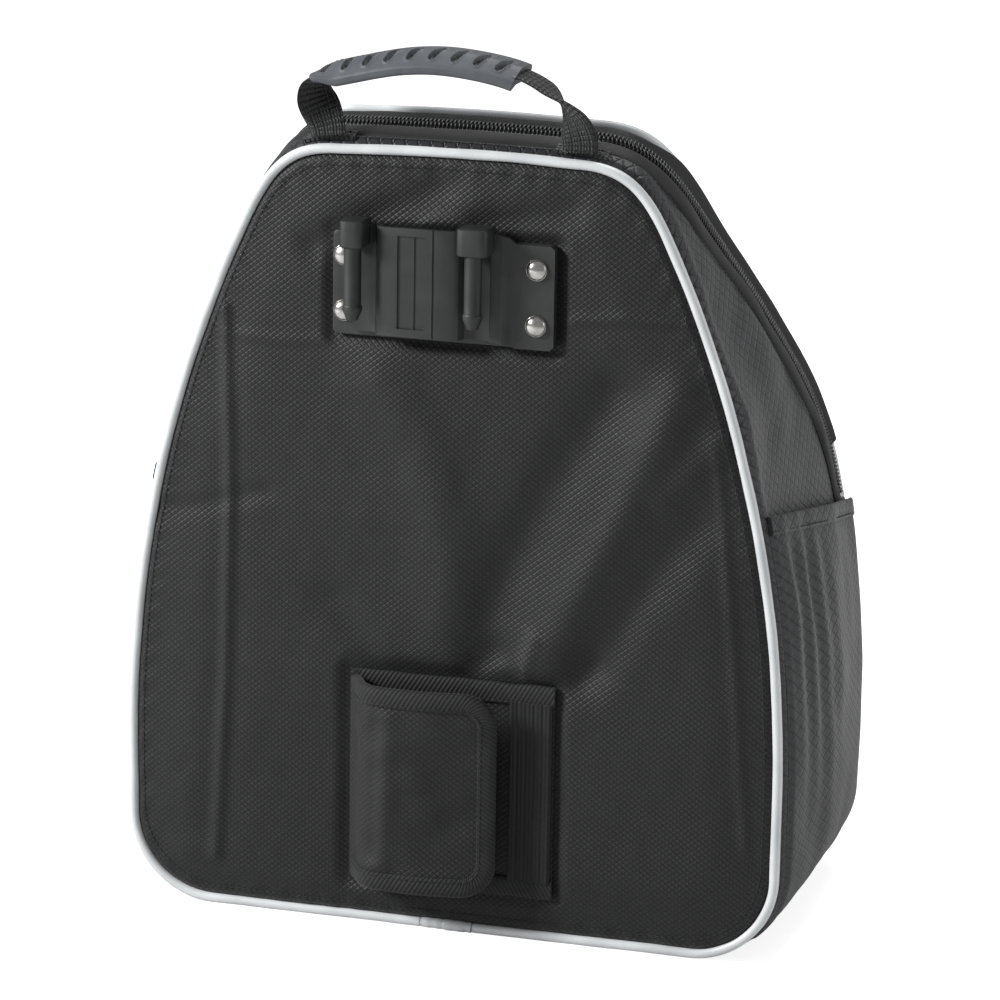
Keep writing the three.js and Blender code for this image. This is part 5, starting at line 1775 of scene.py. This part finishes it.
# ------------------------------------------------------------------ side pockets


@dataclass
class SidePocket:
    """An open pocket on one side: cloth that stands off the gusset, gathered at the front, with a turned hem."""

    body: Body
    finishes: Finishes
    side: float
    front: float = -70.3
    rear: float = 94.4
    foot_z: float = 9.0
    knee_z: float = 60.0
    low_share: float = 0.3
    hem_front_z: float = 232.0
    hem_rear_z: float = 200.0
    hem: float = 9.0
    mouth: float = 6.0
    bulge: float = 6.6
    cloth: float = 2.0

    @property
    def word(self) -> str:
        """The side's name."""
        return "right" if self.side > 0 else "left"

    def lift(self, across: Array, up: Array) -> Array:
        """How far the cloth stands off: an arch across, fuller in the middle, gone at the foot.

        Args:
            across: 0 at the front seam and 1 at the rear.
            up: 0 at the foot and 1 at the hem.

        Returns:
            The distance in mm.
        """
        arch = np.sin(np.pi * np.clip(across, 0, 1)) ** 0.9
        full = self.mouth + (self.bulge - self.mouth) * np.sin(np.pi * np.minimum(up, 1))
        return 2 * GAP + full * arch * smooth(up / 0.3)

    def gathers(self, across: Array, up: Array) -> Array:
        """Folds of the cloth: upright gathers near the front that fade downwards, and broad waves.

        Args:
            across: 0 at the front seam and 1 at the rear.
            up: 0 at the foot and 1 at the hem.

        Returns:
            Height in mm.
        """
        fall = smooth((up - 0.15) / 0.7) * smooth((1.02 - up) / 0.12)
        edges = smooth(across / 0.08) * smooth((1 - across) / 0.08)
        pleats = 1.3 * np.cos(2 * np.pi * (across * 7.2 + 0.5 * up)) * np.exp(-(((across - 0.2) / 0.24) ** 2)) * fall
        wide = 0.9 * np.cos(2 * np.pi * (across * 2.3 - 0.4 * up) + 0.8) * smooth(up / 0.3)
        sag = -1.0 * crease(across * 160, up * 200, [(30, 60), (75, 20), (130, 45)], 16)
        return (pleats + wide * 0.6 + sag + 0.5 * ripple(across * 160, up * 200, 80, 61)) * edges

    def point(self, across: Array, up: Array, extra: Array, below: float) -> Array:
        """Points on the pocket.

        Args:
            across: 0 at the front seam and 1 at the rear.
            up: 0 at the foot and 1 at the hem.
            extra: Height over the cloth's inner face.
            below: How far under the hem's edge the top row is.

        Returns:
            The points.
        """
        y = self.front + (self.rear - self.front) * across
        hem_z = self.hem_front_z - (self.hem_front_z - self.hem_rear_z) * (y - self.body.front) / self.body.depth
        foot, knee = (float(self.body.outline.at_height(z)) for z in (self.foot_z, self.knee_z))
        top = self.body.outline.at_height(hem_z - below)
        low = foot + (knee - foot) * np.minimum(up / self.low_share, 1)
        high = (top - knee) * np.maximum((up - self.low_share) / (1 - self.low_share), 0)
        return self.body.shell(self.side * (low + high), y, self.lift(across, up) + extra)

    def build(self) -> None:
        """Builds the pocket's cloth and its hem."""
        up, across = np.meshgrid(np.linspace(0, 1, 120), np.linspace(0, 1, 90), indexing="ij")
        folds = self.gathers(across, up)
        seam = smooth(across / 0.03) * smooth((1 - across) / 0.03) * smooth(up / 0.03)
        below = self.hem * 0.5
        outer = self.point(across, up, 0.5 + (self.cloth - 0.5) * seam + folds, below)
        inner = self.point(across, up, 0.1 + np.maximum(folds - 0.3, -0.4) * seam, below)
        flat = np.stack([up * 235, across * 165], axis=-1)
        sketch = Sketch(f"side_pocket_{self.word}_cloth")
        sketch.slab(outer, inner, flat, inner_finish=1)
        piece = sketch.build([self.finishes.side, self.finishes.lining])
        dress(piece, "bag", [f"side_pocket_{self.word}"])
        # The hem is the cloth turned over twice: a closed band with a round upper edge.
        share = np.linspace(0, 1, 90)
        turn = np.array(
            [
                (9.4, 0.3),
                (9.3, 2.3),
                (8.6, 2.75),
                (5.0, 2.8),
                (1.2, 2.8),
                (0.2, 2.4),
                (-0.1, 1.6),
                (0.2, 0.8),
                (1.2, 0.3),
                (5.0, 0.2),
            ]
        )
        rings = np.stack(
            [
                self.point(
                    share, np.ones_like(share), extra + self.gathers(share, np.full_like(share, 0.985)), below
                ) for below, extra in turn
            ], axis=1
        )
        places = np.stack(
            np.meshgrid(share * 165, np.append(turn[:, 0], turn[0, 0] + 9) + 230, indexing="ij"), axis=-1
        )[..., ::-1]
        hem = Sketch(f"pocket_hem_{self.word}_cloth")
        hem.roll(rings, places)
        line = self.point(share, np.ones_like(share), np.full_like(share, 2.9), 7.6)
        lifted = self.point(share, np.ones_like(share), np.full_like(share, 3.9), 7.6)
        stitches(hem, line, lifted - line, finish=1)
        piece = hem.build([self.finishes.side, self.finishes.thread])
        dress(piece, "bag", [f"pocket_hem_{self.word}"])


# ------------------------------------------------------------------ rail bracket


@dataclass
class RailBracket:
    """The riveted bracket on the front: a plate, a clip with two fingers, and four domed rivets."""

    finishes: Finishes
    middle: tuple[float, float] = (-4.5, 334.8)
    columns: tuple[float, float] = (-51.5, 48.5)
    rows: tuple[float, float] = (14.0, -14.0)
    head_radius: float = 5.2
    head_height: float = 3.4
    under_plate: float = -83.6
    under_clip: float = -86.5
    tail: float = -69.3

    def rivet(self, number: int, x: float, z: float, under: float) -> bpy.types.Object:
        """A rivet: a low dome with a thin rim, its shank and the clenched tail.

        Args:
            number: Its number.
            x: Place across.
            z: Place up.
            under: Y of the head's underside.

        Returns:
            The piece.
        """
        bend = np.linspace(0, np.pi / 2, 14)
        dome = np.column_stack(
            [self.head_radius * np.sin(bend), -(self.head_height - 0.5) * np.cos(bend) ** 1.2 - 0.5]
        )
        rim = [(self.head_radius + 0.15, -0.45), (self.head_radius + 0.15, -0.1), (self.head_radius - 0.2, 0.0)]
        length = self.tail - under
        shank = [(1.9, 0.02), (1.9, length), (3.1, length + 0.1), (2.5, length + 0.9), (0.0, length + 1.0)]
        sketch = Sketch(f"rivet_{number}_nickel")
        sketch.sheet(lathe(np.concatenate([dome, rim, shank]), np.array([x, under, z])), close_columns=True)
        return dress(sketch.build([self.finishes.nickel], sharp=50), "bag", [f"rivet_{number}"])

    def build(self, frame: dict) -> None:
        """Builds the rivets and rounds the mouldings' edges.
        """
        places = [(dx, dz) for dx in self.columns for dz in self.rows]
        for number, (dx, dz) in enumerate(places, 1):
            under = self.under_clip if dx > 0 else self.under_plate
            self.rivet(number, self.middle[0] + dx, self.middle[1] + dz, under)
            keep(frame, f"rivet_washer_{number}", self.finishes.nickel)
        dress(
            copied("bracket_plate", "bracket_plate_moulding", 0.5, self.finishes.bracket),
            "bag",
            ["bracket_plate"],
        )
        dress(
            copied("clip_bracket", "clip_bracket_moulding", 0.45, self.finishes.bracket),
            "bag",
            ["clip_bracket"],
        )
        keep(frame, "bracket_backing", self.finishes.board)


# ------------------------------------------------------------------ strap wrap


@dataclass
class StrapWrap:
    """The wrap on the lower front: a bound patch with a webbing strip, and a soft bound flap that folds over it."""

    finishes: Finishes
    left: float = -51.5
    right: float = 56.0
    foot: float = 24.0
    top: float = 135.0
    face: float = -81.8
    bound: float = 9.5
    webbing: float = 22.0
    flap_right: float = 30.0
    flap_corner: float = 18.0
    flap_margin: float = 2.0
    flap_proud: float = 20.0
    flap_cloth: float = 2.4

    def patch(self) -> bpy.types.Object:
        """The base patch, sewn flat with a slight swell.

        Returns:
            The piece.
        """
        x, z = np.meshgrid(
            np.linspace(self.left, self.right, 60), np.linspace(self.foot, self.top, 60), indexing="ij"
        )
        swell = 0.25 * ripple(x, z, 60, 71)
        sketch = Sketch("wrap_base_cloth")
        outer = np.stack([x, self.face + 0.15 - np.maximum(swell, 0) * 0.4, z], axis=-1)
        inner = np.stack([x, np.full_like(x, self.face + 1.5), z], axis=-1)
        sketch.slab(outer, inner, np.stack([x, z], axis=-1))
        return dress(sketch.build([self.finishes.front]), "bag", ["wrap_base"])

    def edge_tape(self, word: str) -> bpy.types.Object:
        """A binding tape folded over the patch's upper or lower edge.

        Args:
            word: Which of the two it is.

        Returns:
            The piece.
        """
        up = 1.0 if word == "top" else -1.0
        edge = self.top if word == "top" else self.foot
        x = np.linspace(self.left + 5, self.right + 0.3, 90)
        turn = np.array(
            [
                (-9.5, 0.25),
                (-9.4, 1.3),
                (-8.6, 1.55),
                (-4.0, 1.6),
                (-0.8, 1.5),
                (0.5, 0.9),
                (0.9, -0.2),
                (0.4, -1.1),
                (-0.8, -1.35),
                (-9.0, -0.2),
            ]
        )
        wave = 0.35 * ripple(x, x * 0, 38, 73 + int(up))
        rings = np.stack(
            [
                np.stack(
                    [x, self.face - out + 0 * x, edge + up * (inset + wave * (inset > -6))], axis=-1
                ) for inset, out in turn
            ], axis=1
        )
        places = np.stack(np.meshgrid(x, np.append(turn[:, 0], turn[0, 0] - 12), indexing="ij"), axis=-1)
        sketch = Sketch(f"wrap_binding_{word}_tape")
        sketch.roll(rings, places)
        line = np.stack([x, np.full_like(x, self.face - 1.6), edge - up * 8.3 + 0 * x], axis=-1)
        stitches(sketch, line, np.tile([0.0, -1.0, 0.0], (len(x), 1)), finish=1)
        piece = sketch.build([self.finishes.binding, self.finishes.thread])
        return dress(piece, "bag", [f"wrap_binding_{word}"])

    def strip(self) -> bpy.types.Object:
        """The upright webbing strip with its long ribs: five soft crowns across its width.

        Returns:
            The piece.
        """
        high = self.right - 0.8
        x, z = np.meshgrid(
            np.linspace(high - self.webbing, high, 60), np.linspace(self.foot + 8, self.top - 8, 60), indexing="ij"
        )
        share = (x - high + self.webbing) / self.webbing
        ribs = 0.22 * np.abs(np.sin(share * np.pi * 5)) + 0.35 * crease(share, z * 0, [(0.06, -1), (0.06, 1)], 0.05)
        ribs = ribs + 0.35 * crease(share, z * 0, [(0.94, -1), (0.94, 1)], 0.05)
        outer = np.stack([x, self.face - GAP - 1.5 - ribs, z], axis=-1)
        inner = np.stack([x, np.full_like(x, self.face - GAP / 2), z], axis=-1)
        sketch = Sketch("wrap_webbing_strip")
        sketch.slab(outer, inner, np.stack([z, x], axis=-1))
        return dress(sketch.build([self.finishes.webbing]), "bag", ["wrap_loop_webbing"])

    @cached_property
    def line(self) -> Array:
        """The flap's mid-line in plan: out from its seam, over a soft crease and across to the free edge.

        Returns:
            The points.
        """
        x, y = self.left + 1.6, self.face - GAP - self.flap_cloth / 2
        out = y - self.flap_proud + 2
        points = [
            (x, y), (x + 5, y - 5), (x + 11, y - self.flap_proud * 0.72), (x + 20, out - 0.6),
            (-8, out - 1.4), (12, out + 1.6), (self.flap_right, out + 6.5),
        ]
        return spline(np.array(points), 40, False)

    def flap_point(self, run: Array, z: Array, out: Array) -> Array:
        """Points over the flap.

        Args:
            run: Distance along its mid-line from the seam.
            z: Height.
            out: Distance out of the mid-line.

        Returns:
            The points.
        """
        travelled = along_path(self.line)
        x, y = (np.interp(run, travelled, column) for column in self.line.T)
        heading = unit(np.gradient(self.line, axis=0))
        hx, hy = (np.interp(run, travelled, column) for column in heading.T)
        middle = (self.foot + self.top) / 2
        slack = -2.6 * crease(
            run, z, [(62, 92), (72, 74), (60, 52)], 17
        ) + 1.3 * crease(run, z, [(33, 116), (32, 74), (30, 40)], 6)
        slack = slack - 1.1 * crease(run, z, [(26, 112), (25, 44)], 5) + 0.5 * ripple(run, z, 55, 76)
        slack = slack * smooth((np.abs(z - middle) - 52) / -14) * smooth(run / 10)
        total = out + slack
        droop = -1.6 * smooth((run - 60) / 40) * np.sin((z - middle) / 50)
        return np.stack(np.broadcast_arrays(x + total * hy, y - total * hx + droop * 0.4, z), axis=-1)

    def half_height(self, run: Array, inset: float = 0.0) -> Array:
        """Half the flap's height along its length, rounded in at the free edge's corners.

        Args:
            run: Distance along the flap's mid-line.
            inset: How far in from the edge.

        Returns:
            The height in mm.
        """
        full = (self.top - self.foot) / 2 - self.flap_margin
        radius = self.flap_corner
        past = np.clip(run - (along_path(self.line)[-1] - radius), 0, radius)
        return full - (radius - np.sqrt(np.maximum(radius**2 - past**2, 0))) - inset

    def flap(self) -> bpy.types.Object:
        """The flap's cloth.

        Returns:
            The piece.
        """
        length = along_path(self.line)[-1]
        run = np.concatenate([np.linspace(0, length - 20, 70)[:-1], length - 20 * (1 - np.linspace(0, 1, 26)) ** 2.0])
        half = self.half_height(run, 0.6)[:, None]
        share = np.linspace(-1, 1, 90)[None]
        z = (self.foot + self.top) / 2 + half * share
        grid = np.broadcast_to(run[:, None], z.shape)
        sketch = Sketch("wrap_flap_cloth")
        outer = self.flap_point(grid, z, np.full_like(z, self.flap_cloth / 2))
        inner = self.flap_point(grid, z, np.full_like(z, -self.flap_cloth / 2))
        sketch.slab(outer, inner, np.stack([grid, z], axis=-1))
        return dress(sketch.build([self.finishes.front]), "flap", ["wrap_flap"])

    def flap_edge(self) -> bpy.types.Object:
        """The binding round the flap: a tape folded over its edge, carried round the two corners.

        Returns:
            The piece.
        """
        length = along_path(self.line)[-1]
        middle = (self.foot + self.top) / 2
        full = (self.top - self.foot) / 2 - self.flap_margin
        r = self.flap_corner
        turn = np.linspace(0, np.pi / 2, 26)
        straight = np.linspace(3.0, length - r, 70)
        upper = np.column_stack([straight, np.full(70, middle + full)])
        bend = np.column_stack([length - r + r * np.sin(turn), middle + full - r + r * np.cos(turn)])
        right = np.column_stack([np.full(40, length), np.linspace(middle + full - r, middle - full + r, 40)])
        half = np.concatenate([upper, bend[1:]])
        mirrored = np.column_stack([half[:, 0], 2 * middle - half[:, 1]])[::-1]
        path = np.concatenate([half, right[1:-1], mirrored])
        travelled = along_path(path)
        path = at_distance(path, np.linspace(0, travelled[-1], 260))
        heading = unit(np.gradient(path, axis=0))
        inward = np.stack([heading[:, 1], -heading[:, 0]], axis=-1)
        lip = self.flap_cloth / 2
        section = np.array(
            [
                *[(9.5, lip + 0.1), (9.3, lip + 1.0), (8.4, lip + 1.25), (4.5, lip + 1.35), (1.2, lip + 1.1)],
                *[(0.0, lip + 0.3), (-0.5, 0.0), (0.0, -lip - 0.3)],
                *[(1.2, -lip - 1.0), (4.5, -lip - 1.2), (8.4, -lip - 1.1), (9.3, -lip - 0.1)],
            ]
        )
        place = path[:, None] + inward[:, None] * section[None, :, :1]
        rings = self.flap_point(place[..., 0], place[..., 1], np.broadcast_to(section[:, 1], place.shape[:2]))
        girth = np.append(along_path(section), along_path(section)[-1] + 3)
        places = np.stack(np.meshgrid(np.linspace(0, travelled[-1], 260), girth, indexing="ij"), axis=-1)
        sketch = Sketch("wrap_flap_binding_tape")
        sketch.roll(rings, places)
        seam = path + inward * 8.0
        line = self.flap_point(seam[:, 0], seam[:, 1], np.full(len(seam), lip + 1.25))
        lifted = self.flap_point(seam[:, 0], seam[:, 1], np.full(len(seam), lip + 2.25))
        stitches(sketch, line, lifted - line, finish=1)
        piece = sketch.build([self.finishes.binding, self.finishes.thread])
        return dress(piece, "flap", ["wrap_flap_binding"])

    def hook_patch(self) -> bpy.types.Object:
        """The hook tape inside the flap's free edge.

        Returns:
            The piece.
        """
        length = along_path(self.line)[-1]
        run, z = np.meshgrid(
            np.linspace(length - 29, length - 9, 30), np.linspace(self.foot + 20, self.top - 20, 60), indexing="ij"
        )
        sketch = Sketch("wrap_hook_tape")
        inner = -self.flap_cloth / 2 - 0.1
        sketch.slab(
            self.flap_point(run, z, np.full_like(z, inner)), self.flap_point(run, z, np.full_like(z, inner - 1.4))
        )
        return dress(sketch.build([self.finishes.hooks]), "flap", ["wrap_hook_patch"])

    def build(self) -> None:
        """Builds the patch, its tapes and strip, and the flap with its binding and hook tape."""
        self.patch()
        self.edge_tape("top")
        self.edge_tape("bottom")
        self.strip()
        self.flap()
        self.flap_edge()
        self.hook_patch()


# ------------------------------------------------------------------ carry handle


@dataclass
class CarryHandle:
    """The handle on the crown: a twisted webbing strap through a slotted rubber grip, and its two anchors."""

    body: Body
    finishes: Finishes
    left: float = -67.0
    right: float = 62.0
    y: float = -76.5
    pivot: float = 407.003
    rise: float = 41.5
    width: float = 25.0
    root_width: float = 18.0
    thick: float = 2.4
    grip: tuple[float, float] = (-72.0, 32.0)
    wall: float = 2.4
    slots: int = 9

    @cached_property
    def line(self) -> Array:
        """The strap's middle line, at equal steps from the left root to the right one.

        Returns:
            The points.
        """
        top = self.rise
        left, right = self.left, self.right
        low, high = self.grip
        points = [
            (left, -0.5), (left - 0.6, 4), (left - 3.5, 11.5), (left - 7, 19), (left - 7.2, 25), (left - 2, 29.8),
            (low + 22, top - 6), (low + 48, top - 0.6), (high - 32, top), (high, top - 5.5), (high + 16, top - 14),
            (right - 3.4, 15), (right - 0.2, 5), (right, -0.5),
        ]
        placed = np.array([(x, self.y, self.pivot + up) for x, up in points])
        curve = spline(placed, 60, True)
        return at_distance(curve, np.linspace(0, along_path(curve)[-1], 1201))

    def frames(self, share: Array) -> tuple[Array, Array, Array, Array]:
        """Middle, direction across the strap's width, direction out of its face, and share of the full width.

        The strap is flat to the hand in the grip and turns to face the front over a fifth of its length at each root.

        Args:
            share: Share of the length, from 0 to 1.

        Returns:
            The four, a row for each share.
        """
        step = np.clip(share, 0, 1) * 1200
        number = np.arange(1201)
        middle = np.stack([np.interp(step, number, column) for column in self.line.T], axis=-1)
        heading = unit(np.gradient(self.line, axis=0))
        ahead = unit(np.stack([np.interp(step, number, column) for column in heading.T], axis=-1))
        full = np.minimum(smooth(share / 0.2), smooth((1 - share) / 0.2))
        side = np.stack([ahead[:, 2], np.zeros_like(share), -ahead[:, 0]], axis=-1)
        turn = (full * np.pi / 2)[:, None]
        wide = unit(side * np.cos(turn) + np.array([0.0, 1.0, 0.0]) * np.sin(turn))
        return middle, wide, np.cross(ahead, wide), full

    def strap(self) -> bpy.types.Object:
        """The webbing: a flat strap with round selvedges and a row of ribs.

        Returns:
            The piece.
        """
        share = np.linspace(0, 1, 320)
        middle, wide, thin, full = self.frames(share)
        width = self.root_width + (self.width - self.root_width) * full
        v = np.linspace(-1, 1, 40)
        crown = (1 - np.abs(v) ** 8) * (self.thick / 2) + 0.12 * np.cos(v * np.pi * 8)
        around = np.concatenate([np.column_stack([v, crown]), np.column_stack([v[::-1], -crown[::-1]])])
        rings = middle[:, None] + wide[:, None] * (
            around[None, :, :1] * width[:, None, None] / 2
        ) + thin[:, None] * around[None, :, 1:]
        length = along_path(middle)
        girth = np.concatenate(
            [(v + 1) / 2 * self.width, (v + 1) / 2 * self.width + self.width + 1, [2 * self.width + 2]]
        )
        places = np.stack(np.meshgrid(length, girth, indexing="ij"), axis=-1)
        sketch = Sketch("handle_strap")
        sketch.roll(rings, places, middle)
        return dress(sketch.build([self.finishes.strap]), "handle", ["handle_webbing"])

    def grip_piece(self) -> bpy.types.Object:
        """The rubber grip: a crowned sleeve with slanted slots whose rims stand up and whose floors show the webbing.

        Each slot is a pill laid aslant over the top: depth falls where the distance to its middle line is
        under its half width, and the rim is a ridge just outside that.

        Returns:
            The piece.
        """
        along = self.line[:, 0]
        number = np.arange(1201) / 1200
        upper = number > 0.15
        start = float(number[upper][np.argmax(along[upper] > self.grip[0] + 1)])
        beyond = number > 0.5
        end = float(number[beyond][np.argmax(along[beyond] > self.grip[1])])
        share = np.linspace(start, end, 210)
        middle, wide, thin, _ = self.frames(share)
        length = along_path(middle)
        angle = np.linspace(0, 2 * np.pi, 150, endpoint=False) + np.pi
        full = smooth((length / length[-1]) / 0.12)
        half_wide = (self.width + 4 * GAP + 2 * self.wall) / 2
        half_thick = (self.thick + 4 * GAP) / 2 + self.wall * (0.55 + 0.55 * full)
        c, s = np.cos(angle), np.sin(angle)
        bow = np.where(s > 0, 0.95, 0.55)
        a = np.sign(c) * np.abs(c) ** 0.62 * half_wide
        b = np.sign(s) * np.abs(s) ** bow
        section = np.stack([a, b * half_thick.mean()], axis=-1)
        girth = along_path(np.concatenate([section, section[:1]]))
        run, round_ = np.meshgrid(length, girth[:-1], indexing="ij")
        # The top half of the section runs from the rear lip to the front one.
        top_start = girth[int(np.argmax(np.sin(angle) > 0.05))]
        pitch = length[-1] / (self.slots + 0.35)
        depth = np.zeros_like(run)
        rim = np.zeros_like(run)
        for k in range(self.slots):
            along_middle = pitch * (k + 0.72)
            low = (along_middle - 2.6, top_start + 27.5)
            high = (along_middle + 2.6, top_start + 17.0)
            reach_u, reach_v = high[0] - low[0], high[1] - low[1]
            t = np.clip(((run - low[0]) * reach_u + (round_ - low[1]) * reach_v) / (reach_u**2 + reach_v**2), 0, 1)
            away = np.hypot(run - low[0] - t * reach_u, round_ - low[1] - t * reach_v)
            depth = np.maximum(depth, 1 - smooth((away - 1.25) / 0.45))
            rim = np.maximum(rim, np.exp(-(((away - 2.15) / 0.55) ** 2)))
        out_a, out_b = unit(np.stack([a / half_wide**2, b * 6 / half_thick.mean() ** 2], axis=-1)).T
        shift = 0.5 * rim - 2.0 * depth
        across = a[None] + out_a[None] * shift
        up = b[None] * half_thick[:, None] + out_b[None] * shift
        up = up - 3.6 * smooth((-across - 5.0) / 10.0) * full[:, None]
        rings = middle[:, None] + wide[:, None] * across[..., None] + thin[:, None] * up[..., None]
        sketch = Sketch("handle_grip_rubber")
        mouth = np.stack([c * (self.width / 2 + 0.6), s * (self.thick / 2 + 0.6)], axis=-1)
        lips = [middle[k] + mouth[:, :1] * wide[k] + mouth[:, 1:] * thin[k] for k in (0, -1)]
        bore = [lips[0] + (middle[3] - middle[0]), lips[1] + (middle[-4] - middle[-1])]
        plugs = [np.broadcast_to(p.mean(0), p.shape) for p in bore]
        whole = np.concatenate(
            [plugs[0][None], bore[0][None], lips[0][None], rings, lips[1][None], bore[1][None], plugs[1][None]]
        )
        sketch.sheet(whole, close_columns=True)
        finish = np.zeros((len(whole) - 1, 150), int)
        inside = (depth[:-1] + depth[1:] + np.roll(depth[:-1], -1, 1) + np.roll(depth[1:], -1, 1)) / 4
        finish[3 : 3 + len(inside)] = inside > 0.9
        sketch.finish[-1] = finish.ravel()
        piece = sketch.build([self.finishes.rubber, self.finishes.strap])
        return dress(piece, "handle", ["handle_grip"])

    def anchor(self, word: str, x: float) -> bpy.types.Object:
        """The end of the strap folded flat behind the piping and box-stitched to the crown.

        Args:
            word: Which of the two it is.
            x: Place across.

        Returns:
            The piece.
        """
        place = self.body.outline.over_x(x)
        d, y = np.meshgrid(np.linspace(place - 13, place + 13, 40), np.linspace(-74.9, -69.3, 14), indexing="ij")
        crown = 0.25 * np.sin((d - place) * 1.6) ** 2
        sketch = Sketch(f"handle_anchor_{word}_tape")
        sketch.slab(
            self.body.shell(d, y, 1.7 + crown), self.body.shell(d, y, np.full_like(d, 0.1)), np.stack([d, y], axis=-1)
        )
        for row in (-74.2, -70.6):
            path = self.body.shell(np.linspace(place - 12, place + 12, 30), np.full(30, row), np.full(30, 1.95))
            stitches(sketch, path, np.tile([0.0, 0.0, 1.0], (30, 1)), pitch=2.6, finish=1)
        piece = sketch.build([self.finishes.strap, self.finishes.thread])
        return dress(piece, "bag", [f"handle_anchor_{word}"])

    def build(self) -> None:
        """Builds the strap, the grip and the anchors."""
        self.strap()
        self.grip_piece()
        self.anchor("left", self.left)
        self.anchor("right", self.right)


# ------------------------------------------------------------------ studio


@dataclass
class Studio:
    """A pale floor, soft lamps and the camera."""

    target: tuple[float, float, float] = (0.0022, -0.080, 0.207)
    azimuth: float = 17.0
    elevation: float = 15.0
    distance: float = 2.3
    roll: float = 0.8
    lens: float = 165.6
    shift: tuple[float, float] = (0.045, 0.040)

    def camera(self) -> None:
        """Sets the camera to the right of the front, looking a little down."""
        az, el, roll = np.radians([self.azimuth, self.elevation, self.roll])
        back = np.array([np.sin(az) * np.cos(el), -np.cos(az) * np.cos(el), np.sin(el)])
        right = unit(np.cross([0.0, 0.0, 1.0], back))
        up = np.cross(back, right)
        turned = right * np.cos(roll) + up * np.sin(roll)
        upright = up * np.cos(roll) - right * np.sin(roll)
        data = bpy.data.cameras.new("Camera")
        data.lens, data.sensor_width = self.lens, 36.0
        data.shift_x, data.shift_y = self.shift
        data.clip_start, data.clip_end = 0.05, 50.0
        made = bpy.data.objects.new("Camera", data)
        place = np.array(self.target) + back * self.distance
        rows = np.column_stack([turned, upright, back, place])
        made.matrix_world = Matrix([*rows.tolist(), [0, 0, 0, 1]])
        bpy.context.scene.collection.objects.link(made)
        bpy.context.scene.camera = made

    def lamp(
        self, name: str, place: tuple[float, float, float], aim: tuple[float, float, float], size: float, power: float
    ) -> None:
        """Adds a soft square lamp.

        Args:
            name: Its name.
            place: Where it stands, in metres.
            aim: What it points at.
            size: Its side in metres.
            power: Its power in watts.
        """
        data = bpy.data.lights.new(name, "AREA")
        data.shape, data.size, data.energy = "SQUARE", size, power
        made = bpy.data.objects.new(name, data)
        back = unit(np.array(place) - np.array(aim))
        right = unit(np.cross([0.0, 0.0, 1.0], back))
        rows = np.column_stack([right, np.cross(back, right), back, place])
        made.matrix_world = Matrix([*rows.tolist(), [0, 0, 0, 1]])
        bpy.context.scene.collection.objects.link(made)

    def world(self) -> None:
        """A dim even sky that camera rays and transmission rays see as white."""
        world = bpy.data.worlds.new("Studio")
        world.use_nodes = True
        bpy.context.scene.world = world
        tree = world.node_tree
        ground = tree.nodes["Background"]
        ground.inputs[0].default_value = (1, 1, 1, 1)
        seen = tree.nodes.new("ShaderNodeLightPath")
        level = tree.nodes.new("ShaderNodeMapRange")
        either = tree.nodes.new("ShaderNodeMath")
        either.operation = "MAXIMUM"
        tree.links.new(seen.outputs["Is Camera Ray"], either.inputs[0])
        tree.links.new(seen.outputs["Is Transmission Ray"], either.inputs[1])
        tree.links.new(either.outputs[0], level.inputs[0])
        level.inputs[3].default_value = 0.3
        level.inputs[4].default_value = 1.0
        tree.links.new(level.outputs[0], ground.inputs[1])

    def floor(self) -> None:
        """A broad pale floor that looks white to the camera and keeps the bag's shadow."""
        shader = Shader("Studio floor")
        tone = shader.grain(400.0, 1.0)
        base = shader.blend(tone, colour("#d9d9d9"), colour("#d6d6d6"))
        shader.finish(base, 0.9, Specular_IOR_Level=0.0)
        seen = shader.node("ShaderNodeLightPath")
        glow = shader.maths("MULTIPLY", seen.outputs["Is Camera Ray"], 0.8)
        shader.surface.inputs["Emission Color"].default_value = (1, 1, 1, 1)
        shader.tree.links.new(glow, shader.surface.inputs["Emission Strength"])
        mesh = bpy.data.meshes.new("studio_floor")
        reach = 8.0
        mesh.from_pydata(
            [(-reach, -reach, 0), (reach, -reach, 0), (reach, reach, 0), (-reach, reach, 0)], [], [(0, 1, 2, 3)]
        )
        mesh.materials.append(shader.material)
        made = bpy.data.objects.new("studio_floor", mesh)
        bpy.context.scene.collection.objects.link(made)

    def build(self) -> None:
        """Builds the floor, the lamps, the sky and the camera."""
        self.floor()
        self.world()
        aim = (0.0, -0.03, 0.22)
        self.lamp("Key softbox", (-2.05, -1.3, 1.5), aim, 0.65, 96.0)
        self.lamp("Side softbox", (2.3, 0.3, 0.9), aim, 1.1, 13.0)
        self.lamp("Top softbox", (0.2, 0.7, 2.3), aim, 1.2, 26.0)
        self.camera()
        bpy.context.scene.view_settings.view_transform = "Standard"


def main() -> None:
    """Loads the frame, builds every part of the bag over it and sets the studio."""
    logging.basicConfig(level=logging.INFO, format="%(name)s %(message)s")
    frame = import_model()
    body = Body()
    finishes = Finishes()
    FrontPanel(body, finishes).build()
    Gusset(body, finishes).build()
    Back(body, finishes).build()
    ZipTrack(body, finishes).build()
    for side in (1.0, -1.0):
        SidePocket(body, finishes, side).build()
    RailBracket(finishes).build(frame)
    StrapWrap(finishes).build()
    CarryHandle(body, finishes).build()
    for node in ("front_board", "base_board"):
        keep(frame, node, finishes.board)
    Studio().build()


if __name__ == "__main__":
    main()
